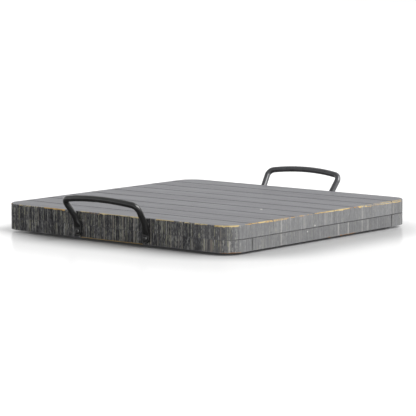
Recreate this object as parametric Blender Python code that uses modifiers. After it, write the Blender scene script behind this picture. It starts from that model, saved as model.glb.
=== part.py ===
"""A square planked ottoman tray on a butt-jointed frame, with a bent rod handle on each side.

Metres, +Z up. The origin is the centre of the plane that the feet stand on. The planks and the
handle sides run along Y, and the handles stand out along +X and -X.
"""

import math

import bmesh
import bpy
from mathutils import Matrix, Vector

# Driving sizes of the woodwork
TRAY_WIDTH = 0.457  # along X, from one handle side to the other
TRAY_DEPTH = 0.457  # along Y, the length of the planks
CORNER_RADIUS = 0.031
PLANK_COUNT = 9
PLANK_THICKNESS = 0.0212
RAIL_THICKNESS = 0.019
RAIL_WIDTH = 0.0508
FIT_GAP = 0.0003  # between pieces that touch
EASED_EDGE = 0.0015  # chamfer on the planks, which makes a V groove between two of them
RAIL_EASED_EDGE = 0.0008
CORNER_STEPS = 8

# Feet
FOOT_HEIGHT = 0.004
FOOT_RADIUS = 0.010
FOOT_INSET = 0.036  # from each side of the tray to the foot's centre

# Screws that go up through the rails into the planks
PLANK_SCREW_LENGTH = 0.032
PLANK_SCREW_RADIUS = 0.0019
PLANK_SCREW_HEAD_RADIUS = 0.0038
PLANK_SCREW_HEAD_HEIGHT = 0.0026
PLANK_SCREW_SINK = 0.0004  # head below the underside of the rail
SIDE_SCREW_SPREAD = 0.150  # from the middle of a side rail to each of its two screws
SCREW_CLEARANCE = 0.0003
SCREW_TIP_HEIGHT = 0.005

# Handles
LEFT_HANDLE_SHIFT = -0.0015  # along Y from the middle of the side, as the handle was screwed on
RIGHT_HANDLE_SHIFT = 0.0053
LEFT_GRIP_RISE = 0.0206  # grip's corners above the top of the planks, as the handle was bent
RIGHT_GRIP_RISE = 0.0220
HANDLE_FOOT_SPACING = 0.136  # between the two screws of one handle
HANDLE_SHOULDER_SPACING = 0.147  # between the corners of the grip
HANDLE_ROD_RADIUS = 0.00475
HANDLE_ARCH = 0.0055  # middle of the grip above its corners
HANDLE_ARCH_LEAN = math.radians(46)  # the grip's arch leans out further than the legs
HANDLE_REACH = 0.0233  # grip's corners out from the feet
HANDLE_LEAN_START = 0.0105  # below the top of the planks, where the legs bend outwards
HANDLE_LEAN_RADIUS = 0.022
HANDLE_CORNER_RADIUS = 0.011
PADDLE_RADIUS = 0.0068  # half the width of the flattened foot, and its rounded end
PADDLE_THICKNESS = 0.0040
PADDLE_TOP = 0.0060  # above the screw's axis, where the rod starts to be flattened
PADDLE_BLEND = 0.0120  # over which it changes from flat to round
HANDLE_SECTION_SIDES = 12
FOOT_END_WIDTH = 0.18  # share of the foot's width that its lowest ring keeps
FOOT_END_STEPS = 5
LEG_STEPS = 4
GRIP_STEPS = 6

# Screws that hold the handles
HANDLE_SCREW_LENGTH = 0.025  # under the head
HANDLE_SCREW_RADIUS = 0.0019
HANDLE_SCREW_HEAD_RADIUS = 0.0040
HANDLE_SCREW_HEAD_HEIGHT = 0.0024

RECESS_WIDTH = 0.0011  # cross recess in the screw heads
RECESS_LENGTH = 0.0040
RECESS_DEPTH = 0.0012
TURNED_STEPS = 16
SCREW_TURNED_STEPS = 12

# Worked out from the sizes above
RAIL_BOTTOM = FOOT_HEIGHT
RAIL_TOP = RAIL_BOTTOM + RAIL_THICKNESS
PLANK_BOTTOM = RAIL_TOP + FIT_GAP
PLANK_TOP = PLANK_BOTTOM + PLANK_THICKNESS
PLANK_PITCH = TRAY_WIDTH / PLANK_COUNT
HALF_WIDTH = TRAY_WIDTH / 2
HALF_DEPTH = TRAY_DEPTH / 2
HANDLE_SCREW_HEIGHT = RAIL_BOTTOM + RAIL_THICKNESS / 2

PAINT = {"color": (0.075, 0.077, 0.082), "roughness": 0.62, "metallic": 0.0}
BOARD_PAINT = {"color": (0.235, 0.238, 0.247), "roughness": 0.55, "metallic": 0.0}
BLACK_STEEL = {"color": (0.022, 0.022, 0.024), "roughness": 0.32, "metallic": 0.6}
ZINC_STEEL = {"color": (0.42, 0.42, 0.43), "roughness": 0.35, "metallic": 1.0}
BLACK_RUBBER = {"color": (0.02, 0.02, 0.02), "roughness": 0.85, "metallic": 0.0}


def clear_scene():
    """Remove every object that the startup scene holds."""
    for obj in list(bpy.data.objects):
        bpy.data.objects.remove(obj)


def make_collection(name):
    """A new collection in the scene."""
    collection = bpy.data.collections.new(name)
    bpy.context.scene.collection.children.link(collection)
    return collection


def make_material(name, finish):
    """A Principled material from a finish's colour, roughness and metallic value."""
    material = bpy.data.materials.new(name)
    material.use_nodes = True
    shader = material.node_tree.nodes["Principled BSDF"]
    shader.inputs["Base Color"].default_value = (*finish["color"], 1.0)
    shader.inputs["Roughness"].default_value = finish["roughness"]
    shader.inputs["Metallic"].default_value = finish["metallic"]
    return material


def make_object(name, bm, collection, material=None):
    """Turn a bmesh into a named object, with its normals pointing out."""
    bmesh.ops.recalc_face_normals(bm, faces=bm.faces)
    mesh = bpy.data.meshes.new(name)
    bm.to_mesh(mesh)
    bm.free()
    obj = bpy.data.objects.new(name, mesh)
    collection.objects.link(obj)
    if material:
        mesh.materials.append(material)
    return obj


def box_bmesh(size):
    """A box of this size, centred on its own origin."""
    bm = bmesh.new()
    bmesh.ops.create_cube(bm, size=1.0)
    bmesh.ops.scale(bm, vec=Vector(size), verts=bm.verts)
    return bm


def round_upright_edges(bm, radius, side):
    """Round the two upright edges on the box's side towards +X (1) or -X (-1)."""
    upright = [
        edge
        for edge in bm.edges
        if abs(edge.verts[0].co.z - edge.verts[1].co.z) > 1e-6
        and all(vert.co.x * side > 0 for vert in edge.verts)
    ]
    bmesh.ops.bevel(
        bm,
        geom=upright,
        offset=radius,
        offset_type="OFFSET",
        segments=CORNER_STEPS,
        profile=0.5,
        affect="EDGES",
    )


def ease_edges(obj, width):
    """Chamfer the sharp edges of a board, and leave the facets of its rounded corners."""
    bevel = obj.modifiers.new("eased_edges", "BEVEL")
    bevel.width = width
    bevel.segments = 1
    bevel.limit_method = "ANGLE"
    bevel.angle_limit = math.radians(50)


def cut(obj, cutter):
    """Take a closed cutter out of a board or a screw head."""
    boolean = obj.modifiers.new("cut_" + cutter.name, "BOOLEAN")
    boolean.operation = "DIFFERENCE"
    boolean.object = cutter


def hide_helper(obj):
    """Mark a cutter, so that only the pieces of the tray are built."""
    obj.hide_render = True
    obj.display_type = "WIRE"


def make_board(name, size, centre, rounded_side, eased, collection, material):
    """A board with eased edges, its outer corners rounded where it forms the tray's corners."""
    bm = box_bmesh(size)
    if rounded_side:
        round_upright_edges(bm, CORNER_RADIUS, rounded_side)
    board = make_object(name, bm, collection, material)
    board.location = centre
    ease_edges(board, eased)
    return board


def plank_centre_x(index):
    """X of the middle of a plank, counted from the -X side."""
    return (index - (PLANK_COUNT - 1) / 2) * PLANK_PITCH


def make_planks(collection, material):
    """The planks of the top, side by side along X."""
    planks = []
    height = (PLANK_BOTTOM + PLANK_TOP) / 2
    for index in range(PLANK_COUNT):
        first, last = index == 0, index == PLANK_COUNT - 1
        left = -HALF_WIDTH if first else plank_centre_x(index) - PLANK_PITCH / 2 + FIT_GAP / 2
        right = HALF_WIDTH if last else plank_centre_x(index) + PLANK_PITCH / 2 - FIT_GAP / 2
        plank = make_board(
            f"plank_{index + 1}",
            (right - left, TRAY_DEPTH, PLANK_THICKNESS),
            ((left + right) / 2, 0, height),
            -1 if first else 1 if last else 0,
            EASED_EDGE,
            collection,
            material,
        )
        planks.append(plank)
    return planks


def make_rails(collection, material):
    """The frame: two side rails as long as the planks, and two end rails between them."""
    height = (RAIL_BOTTOM + RAIL_TOP) / 2
    end_rail_length = TRAY_WIDTH - 2 * RAIL_WIDTH - 2 * FIT_GAP
    rails = {}
    for name, side in (("side_rail_left", -1), ("side_rail_right", 1)):
        rails[name] = make_board(
            name,
            (RAIL_WIDTH, TRAY_DEPTH, RAIL_THICKNESS),
            (side * (HALF_WIDTH - RAIL_WIDTH / 2), 0, height),
            side,
            RAIL_EASED_EDGE,
            collection,
            material,
        )
    for name, side in (("end_rail_front", -1), ("end_rail_back", 1)):
        rails[name] = make_board(
            name,
            (end_rail_length, RAIL_WIDTH, RAIL_THICKNESS),
            (0, side * (HALF_DEPTH - RAIL_WIDTH / 2), height),
            0,
            RAIL_EASED_EDGE,
            collection,
            material,
        )
    return rails


def turned(name, profile, steps, collection, material=None):
    """Turn a profile of (radius, height) points, from the top down, about its own Z axis."""
    bm = bmesh.new()
    verts = [bm.verts.new((radius, 0, height)) for radius, height in profile]
    for upper, lower in zip(verts, verts[1:]):
        bm.edges.new((upper, lower))
    mesh = bpy.data.meshes.new(name)
    bm.to_mesh(mesh)
    bm.free()
    obj = bpy.data.objects.new(name, mesh)
    collection.objects.link(obj)
    screw = obj.modifiers.new("turned", "SCREW")
    screw.steps = steps
    screw.render_steps = steps
    screw.use_merge_vertices = True
    screw.merge_threshold = 0.00002
    if material:
        mesh.materials.append(material)
    return obj


def cross_recess(name, depth_at, collection):
    """A cross of two thin bars that sinks the drive recess into a screw head facing +Z."""
    bm = bmesh.new()
    for length, width in ((RECESS_LENGTH, RECESS_WIDTH), (RECESS_WIDTH, RECESS_LENGTH)):
        made = bmesh.ops.create_cube(bm, size=1.0)["verts"]
        bmesh.ops.scale(bm, vec=Vector((length, width, 2 * RECESS_DEPTH)), verts=made)
    bmesh.ops.translate(bm, vec=Vector((0, 0, depth_at)), verts=bm.verts)
    recess = make_object(name, bm, collection)
    hide_helper(recess)
    return recess


def wood_screw(name, profile, placement, collections, material):
    """A screw whose head faces its own +Z, with a cross recess, set in place by a matrix."""
    pieces, cutters = collections
    screw = turned(name, profile, SCREW_TURNED_STEPS, pieces, material)
    recess = cross_recess("recess_" + name, profile[0][1], cutters)
    boolean = screw.modifiers.new("recess", "BOOLEAN")
    boolean.operation = "DIFFERENCE"
    boolean.object = recess
    boolean.use_self = True
    screw.matrix_world = placement
    recess.matrix_world = placement
    return screw


def pilot_cutter(name, profile, placement, cutters):
    """A turned cutter for a screw's hole, set in place like the screw."""
    cutter = turned(name, profile, SCREW_TURNED_STEPS, cutters)
    cutter.matrix_world = placement
    hide_helper(cutter)
    return cutter


def plank_screw_places():
    """(name, x, y, rail, plank index) of each screw that comes up through a rail."""
    places = []
    end_row = HALF_DEPTH - RAIL_WIDTH / 2
    for index in range(1, PLANK_COUNT - 1):
        for rail, side in (("end_rail_front", -1), ("end_rail_back", 1)):
            name = f"plank_screw_{rail.split('_')[2]}_{index + 1}"
            places.append((name, plank_centre_x(index), side * end_row, rail, index))
    for rail, side, index in (("side_rail_left", -1, 0), ("side_rail_right", 1, PLANK_COUNT - 1)):
        for end, label in ((-1, "front"), (1, "back")):
            name = f"plank_screw_{rail.split('_')[2]}_{label}"
            x = side * (HALF_WIDTH - RAIL_WIDTH / 2)
            places.append((name, x, end * SIDE_SCREW_SPREAD, rail, index))
    return places


def plank_screw_profiles():
    """Profiles of the countersunk screw and of its hole, with the head's face at height 0."""
    head, rod = PLANK_SCREW_HEAD_RADIUS, PLANK_SCREW_RADIUS
    neck = -PLANK_SCREW_HEAD_HEIGHT
    shoulder = -(PLANK_SCREW_LENGTH - SCREW_TIP_HEIGHT)
    rim = -PLANK_SCREW_HEAD_HEIGHT * 0.15
    screw = [(0, 0), (head, 0), (head, rim), (rod, neck), (rod, shoulder), (0, -PLANK_SCREW_LENGTH)]
    gap = SCREW_CLEARANCE
    mouth = PLANK_SCREW_SINK + RAIL_EASED_EDGE
    floor = -(PLANK_SCREW_LENGTH + gap)
    hole = [(0, mouth), (head + gap, mouth), (head + gap, rim - gap), (rod + gap, neck - gap),
            (rod + gap, floor), (0, floor)]
    return screw, hole


def fasten_planks(planks, rails, collections, material):
    """Drive a screw up through the rails into each end of every plank."""
    screw_profile, hole_profile = plank_screw_profiles()
    upside_down = Matrix.Rotation(math.pi, 4, "X")
    for name, x, y, rail, index in plank_screw_places():
        place = Matrix.Translation((x, y, RAIL_BOTTOM + PLANK_SCREW_SINK)) @ upside_down
        wood_screw(name, screw_profile, place, collections, material)
        cutter = pilot_cutter("hole_" + name, hole_profile, place, collections[1])
        cut(rails[rail], cutter)
        cut(planks[index], cutter)


def rounded_corner(before, corner, after, radius, steps):
    """Points of the arc that rounds one corner of a path, tangent to both of its straight runs."""
    to_before = (before - corner).normalized()
    to_after = (after - corner).normalized()
    half_angle = to_before.angle(to_after) / 2
    middle = (to_before + to_after).normalized()
    centre = corner + middle * (radius / math.sin(half_angle))
    start = corner + to_before * (radius / math.tan(half_angle)) - centre
    end = corner + to_after * (radius / math.tan(half_angle)) - centre
    sweep = start.angle(end)
    points = []
    for step in range(steps + 1):
        share = step / steps
        arm = start * math.sin((1 - share) * sweep) + end * math.sin(share * sweep)
        points.append(centre + arm / math.sin(sweep))
    return points


def section_shape(height):
    """(half width, half thickness, squareness) of a handle's leg at this height above the floor.

    The foot is a flat bar with a round end. Above it the bar turns into the round rod.
    """
    flat_top = HANDLE_SCREW_HEIGHT + PADDLE_TOP
    share = min(1.0, max(0.0, (height - flat_top) / PADDLE_BLEND))
    ease = share * share * (3 - 2 * share)
    half_width = PADDLE_RADIUS + (HANDLE_ROD_RADIUS - PADDLE_RADIUS) * ease
    half_thickness = PADDLE_THICKNESS / 2
    half_thickness += (HANDLE_ROD_RADIUS - PADDLE_THICKNESS / 2) * ease
    below = HANDLE_SCREW_HEIGHT - height
    if below > 0:
        half_width = math.sqrt(max(PADDLE_RADIUS**2 - below**2, 0.0))
        half_width = max(half_width, PADDLE_RADIUS * FOOT_END_WIDTH)
    return half_width, half_thickness, 2 + 2 * (1 - ease)


def grip_point(y, half_length, shoulder):
    """A point of the grip, which arches up and out between its two shoulders."""
    rise = HANDLE_ARCH * (1 - (y / half_length) ** 2)
    return Vector((shoulder.x + rise * math.tan(HANDLE_ARCH_LEAN), y, shoulder.z + rise))


def half_handle_path(grip_rise):
    """Centre line of half a handle, as (distance out of the side, y, z), from its foot to its middle."""
    foot_y = HANDLE_FOOT_SPACING / 2
    grip_y = HANDLE_SHOULDER_SPACING / 2
    flat_top = HANDLE_SCREW_HEIGHT + PADDLE_TOP
    bend_z = PLANK_TOP - HANDLE_LEAN_START
    grip_z = PLANK_TOP + grip_rise
    splay = (grip_y - foot_y) / (grip_z - flat_top)

    path = []
    for step in range(FOOT_END_STEPS):
        drop = PADDLE_RADIUS * math.cos(step / FOOT_END_STEPS * math.pi / 2)
        path.append(Vector((0, foot_y, HANDLE_SCREW_HEIGHT - drop)))
    path.append(Vector((0, foot_y, HANDLE_SCREW_HEIGHT)))

    flat_end = Vector((0, foot_y, flat_top))
    bend = Vector((0, foot_y + splay * (bend_z - flat_top), bend_z))
    shoulder = Vector((HANDLE_REACH, grip_y, grip_z))
    lean_arc = rounded_corner(flat_end, bend, shoulder, HANDLE_LEAN_RADIUS, 5)
    path += [flat_end.lerp(lean_arc[0], step / LEG_STEPS) for step in range(LEG_STEPS)]
    path += lean_arc

    grip_start = grip_y - 2 * HANDLE_CORNER_RADIUS
    first = grip_point(grip_start, grip_y, shoulder)
    path += rounded_corner(bend, shoulder, first, HANDLE_CORNER_RADIUS, 7)
    for step in range(GRIP_STEPS + 1):
        path.append(grip_point(grip_start * (1 - step / GRIP_STEPS), grip_y, shoulder))
    for point in path:
        point.x += FIT_GAP + section_shape(point.z)[1]
    return path


def signed_power(value, power):
    """value to a power, keeping its sign."""
    return math.copysign(abs(value) ** power, value)


def loft_handle(path):
    """Skin a closed tube on a path, whose section changes from a flat foot to a round rod."""
    bm = bmesh.new()
    rings = []
    normal = Vector((1, 0, 0))
    for index, point in enumerate(path):
        ahead = path[min(index + 1, len(path) - 1)]
        behind = path[max(index - 1, 0)]
        tangent = (ahead - behind).normalized()
        normal = (normal - tangent * normal.dot(tangent)).normalized()
        across = tangent.cross(normal)
        half_width, half_thickness, squareness = section_shape(point.z)
        ring = []
        for side in range(HANDLE_SECTION_SIDES):
            angle = 2 * math.pi * (side + 0.5) / HANDLE_SECTION_SIDES
            wide = signed_power(math.cos(angle), 2 / squareness) * half_width
            thick = signed_power(math.sin(angle), 2 / squareness) * half_thickness
            ring.append(bm.verts.new(point + across * wide + normal * thick))
        rings.append(ring)
    for ring, following in zip(rings, rings[1:]):
        for side in range(HANDLE_SECTION_SIDES):
            other = (side + 1) % HANDLE_SECTION_SIDES
            bm.faces.new((ring[side], ring[other], following[other], following[side]))
    bm.faces.new(rings[0])
    bm.faces.new(rings[-1])
    return bm


def make_handle(name, side, shift, grip_rise, collections, material, rail):
    """A bent rod handle on the side towards +X (1) or -X (-1), with its two screws."""
    pieces, cutters = collections
    half = half_handle_path(grip_rise)
    other_half = [Vector((point.x, -point.y, point.z)) for point in half[-2::-1]]
    path = [Vector((side * (HALF_WIDTH + p.x), p.y + shift, p.z)) for p in half + other_half]
    handle = make_object(name, loft_handle(path), pieces, material)
    handle.data.shade_smooth()
    handle.data.set_sharp_from_angle(angle=math.radians(40))

    head, rod = HANDLE_SCREW_HEAD_RADIUS, HANDLE_SCREW_RADIUS
    dome = HANDLE_SCREW_HEAD_HEIGHT
    shoulder = -(HANDLE_SCREW_LENGTH - SCREW_TIP_HEIGHT)
    screw = [(0, dome), (head * 0.55, dome), (head * 0.88, dome * 0.72), (head, dome * 0.3),
             (head, 0), (rod, 0), (rod, shoulder), (0, -HANDLE_SCREW_LENGTH)]
    bore = rod + SCREW_CLEARANCE
    floor = -(HANDLE_SCREW_LENGTH + SCREW_CLEARANCE)
    hole = [(0, dome), (bore, dome), (bore, floor), (0, floor)]
    outwards = Matrix.Rotation(math.radians(90 * side), 4, "Y")
    seat = HALF_WIDTH + FIT_GAP + PADDLE_THICKNESS + FIT_GAP
    for end, label in ((-1, "front"), (1, "back")):
        y = shift + end * HANDLE_FOOT_SPACING / 2
        place = Matrix.Translation((side * seat, y, HANDLE_SCREW_HEIGHT))
        screw_name = f"{name}_screw_{label}"
        wood_screw(screw_name, screw, place @ outwards, collections, material)
        cutter = pilot_cutter("hole_" + screw_name, hole, place @ outwards, cutters)
        cut(handle, cutter)
        cut(rail, cutter)


def make_feet(collection, material):
    """Four round rubber pads under the ends of the side rails."""
    eased = FOOT_RADIUS * 0.92
    height = FOOT_HEIGHT - FIT_GAP
    profile = [(0, height), (FOOT_RADIUS, height), (FOOT_RADIUS, height * 0.25), (eased, 0), (0, 0)]
    for x_side, across in ((-1, "left"), (1, "right")):
        for y_side, along in ((-1, "front"), (1, "back")):
            name = f"foot_{across}_{along}"
            foot = turned(name, profile, TURNED_STEPS, collection, material)
            foot.location = (
                x_side * (HALF_WIDTH - FOOT_INSET),
                y_side * (HALF_DEPTH - FOOT_INSET),
                0,
            )


def main():
    """Build the tray."""
    clear_scene()
    pieces = make_collection("ottoman_tray")
    cutters = make_collection("cutters")
    collections = (pieces, cutters)
    materials = {
        "board_paint": make_material("board_paint", BOARD_PAINT),
        "rail_paint": make_material("rail_paint", PAINT),
        "black_steel": make_material("black_steel", BLACK_STEEL),
        "zinc_steel": make_material("zinc_steel", ZINC_STEEL),
        "black_rubber": make_material("black_rubber", BLACK_RUBBER),
    }
    planks = make_planks(pieces, materials["board_paint"])
    rails = make_rails(pieces, materials["rail_paint"])
    fasten_planks(planks, rails, collections, materials["zinc_steel"])
    steel = materials["black_steel"]
    for name, side, shift, rise in (
        ("left", -1, LEFT_HANDLE_SHIFT, LEFT_GRIP_RISE),
        ("right", 1, RIGHT_HANDLE_SHIFT, RIGHT_GRIP_RISE),
    ):
        rail = rails[f"side_rail_{name}"]
        make_handle(f"handle_{name}", side, shift, rise, collections, steel, rail)
    make_feet(pieces, materials["black_rubber"])


main()
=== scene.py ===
"""Looks of a square planked tray: rough-sawn painted boards with worn edges, and rod handles."""

import logging
import math
from dataclasses import dataclass
from enum import Enum

import bmesh
import bpy
import numpy as np
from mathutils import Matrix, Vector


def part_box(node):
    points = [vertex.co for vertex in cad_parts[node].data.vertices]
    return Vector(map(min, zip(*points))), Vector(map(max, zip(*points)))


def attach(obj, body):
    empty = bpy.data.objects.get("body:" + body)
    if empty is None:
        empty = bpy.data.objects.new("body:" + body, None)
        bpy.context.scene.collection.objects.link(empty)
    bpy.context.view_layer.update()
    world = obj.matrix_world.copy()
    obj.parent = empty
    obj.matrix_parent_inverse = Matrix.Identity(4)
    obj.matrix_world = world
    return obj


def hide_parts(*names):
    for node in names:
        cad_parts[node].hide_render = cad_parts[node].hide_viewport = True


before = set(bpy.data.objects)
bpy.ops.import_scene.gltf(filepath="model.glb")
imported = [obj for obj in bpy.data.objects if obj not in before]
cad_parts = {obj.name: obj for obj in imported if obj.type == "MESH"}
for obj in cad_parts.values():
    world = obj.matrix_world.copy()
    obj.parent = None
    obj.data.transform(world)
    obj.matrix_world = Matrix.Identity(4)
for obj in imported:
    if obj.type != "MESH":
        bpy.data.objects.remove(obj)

log = logging.getLogger("tray")
Array = np.ndarray
Socket = bpy.types.NodeSocket
Sockets = bpy.types.bpy_prop_collection
Colour = tuple[float, float, float]
Pair = tuple[float, float]
MM = 0.001
WELD = 0.002 * MM
TINY = 1e-9
BODY = "root"
HASH_PRIMES = (668265263, 2246822519, 374761393)
HASH_STEPS = ((15, 2246822519), (13, 3266489917))


# Noise, grids and pieces

def step_between(value: Array, low: float | Array, high: float | Array) -> Array:
    """Rise from 0 at low to 1 at high along 3t^2 - 2t^3."""
    part = np.clip((value - low) / (high - low), 0, 1)
    return part * part * (3 - 2 * part)


def at_least(low: float, noise: Array) -> Array:
    """Bring noise from 0 to 1 into the range from low to 1."""
    return low + (1 - low) * noise


def hashed(cell_x: Array, cell_y: Array, seed: int) -> Array:
    """Give each lattice cell a fixed value from 0 to 1.

    The cell's two whole numbers and the seed are each multiplied by a large prime and mixed by
    exclusive-or and shifts.

    Args:
        cell_x: Whole numbers along the first direction.
        cell_y: Whole numbers along the second.
        seed: Which of the patterns is wanted.

    Returns:
        Values from 0 to 1, of the cells' shape.
    """
    mask = np.uint64(0xFFFFFFFF)
    prime_x, prime_y, prime_seed = HASH_PRIMES
    mixed = cell_x.astype(np.int64).astype(np.uint64) * np.uint64(prime_x)
    mixed ^= cell_y.astype(np.int64).astype(np.uint64) * np.uint64(prime_y)
    mixed = (mixed ^ np.uint64(seed * prime_seed)) & mask
    for shift, prime in HASH_STEPS:
        mixed = ((mixed ^ (mixed >> np.uint64(shift))) * np.uint64(prime)) & mask
    return (mixed ^ (mixed >> np.uint64(16))).astype(float) / 2**32


def smooth_noise(x: Array, y: Array | float, seed: int) -> Array:
    """Value noise from 0 to 1.

    It is the four lattice values around a point, blended by 3t^2 - 2t^3 each way.

    Args:
        x: First coordinate, in cells.
        y: Second coordinate, in cells.
        seed: Which of the patterns is wanted.

    Returns:
        Noise of the coordinates' common shape.
    """
    x, y = np.broadcast_arrays(x, y)
    cell_x, cell_y = np.floor(x), np.floor(y)
    part_x, part_y = step_between(x - cell_x, 0, 1), step_between(y - cell_y, 0, 1)
    near, far = (
        hashed(cell_x, row, seed) * (1 - part_x) + hashed(cell_x + 1, row, seed) * part_x
        for row in (cell_y, cell_y + 1)
    )
    return near * (1 - part_y) + far * part_y


@dataclass(frozen=True)
class Ripple:
    """Noise along a line: a cell's length, the lattice row read, the seed's step and a weight."""

    length: float
    row: float
    step: int = 0
    weight: float = 1.0

    def along(self, run: Array, seed: int) -> Array:
        """Sample the noise at distances along the line."""
        return smooth_noise(run / self.length, self.row, seed + self.step) * self.weight


@dataclass(frozen=True)
class Patches:
    """Noise over a face: a cell's length each way, the seed's step and a weight."""

    first: float
    second: float
    step: int
    weight: float = 1.0

    def over(self, first: Array, second: Array, seed: int = 0) -> Array:
        """Sample the noise at two coordinates over the face."""
        noise = smooth_noise(first / self.first, second / self.second, seed + self.step)
        return noise * self.weight


def grid_mesh(name: str, grid: Array) -> bpy.types.Object:
    """Make a mesh from a grid of points, whose columns wrap round.

    Each cell of the grid is one face. Rows that shrink to a line or a point are welded later,
    which closes the surface there.

    Args:
        name: The new object's name.
        grid: Points, of shape (rows, columns, 3).

    Returns:
        The object, linked to the scene.
    """
    rows, columns = grid.shape[:2]
    index = np.arange(rows * columns).reshape(rows, columns)
    lower, upper = index[:-1], index[1:]
    corners = [lower, np.roll(lower, -1, axis=1), np.roll(upper, -1, axis=1), upper]
    mesh = bpy.data.meshes.new(name)
    mesh.from_pydata(grid.reshape(-1, 3), [], np.stack(corners, axis=-1).reshape(-1, 4))
    piece = bpy.data.objects.new(name, mesh)
    bpy.context.scene.collection.objects.link(piece)
    return piece


def close_mesh(piece: bpy.types.Object, sharp_degrees: float = 180.0) -> None:
    """Weld coincident points, turn the faces outwards and shade them smooth up to an angle.

    Args:
        piece: The object whose mesh is closed.
        sharp_degrees: Angle between two faces from which their edge stays sharp.
    """
    mesh = piece.data
    shell = bmesh.new()
    shell.from_mesh(mesh)
    bmesh.ops.remove_doubles(shell, verts=shell.verts, dist=WELD)
    bmesh.ops.recalc_face_normals(shell, faces=shell.faces)
    shell.to_mesh(mesh)
    shell.free()
    mesh.shade_smooth()
    if sharp_degrees < 180:
        mesh.set_sharp_from_angle(angle=math.radians(sharp_degrees))


def write_attribute(piece: bpy.types.Object, name: str, *values: Array) -> None:
    """Store three numbers at each point of a mesh, each from an array of (rows, columns)."""
    layer = piece.data.attributes.new(name, "FLOAT_VECTOR", "POINT")
    layer.data.foreach_set("vector", np.stack(values, axis=-1).reshape(-1).astype(np.float32))


def place_piece(piece: bpy.types.Object, node: str, finish: bpy.types.Material) -> None:
    """Let a piece stand for a CAD node and ride on the tray's body.

    Args:
        piece: The piece.
        node: The CAD node that it replaces.
        finish: Its material.
    """
    piece.data.materials.append(finish)
    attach(piece, BODY)
    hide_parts(node)
    log.info("%s stands for %s, with %d faces", piece.name, node, len(piece.data.polygons))


# Shader graphs, in which a span is the two values between which a mask rises from 0 to 1

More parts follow.
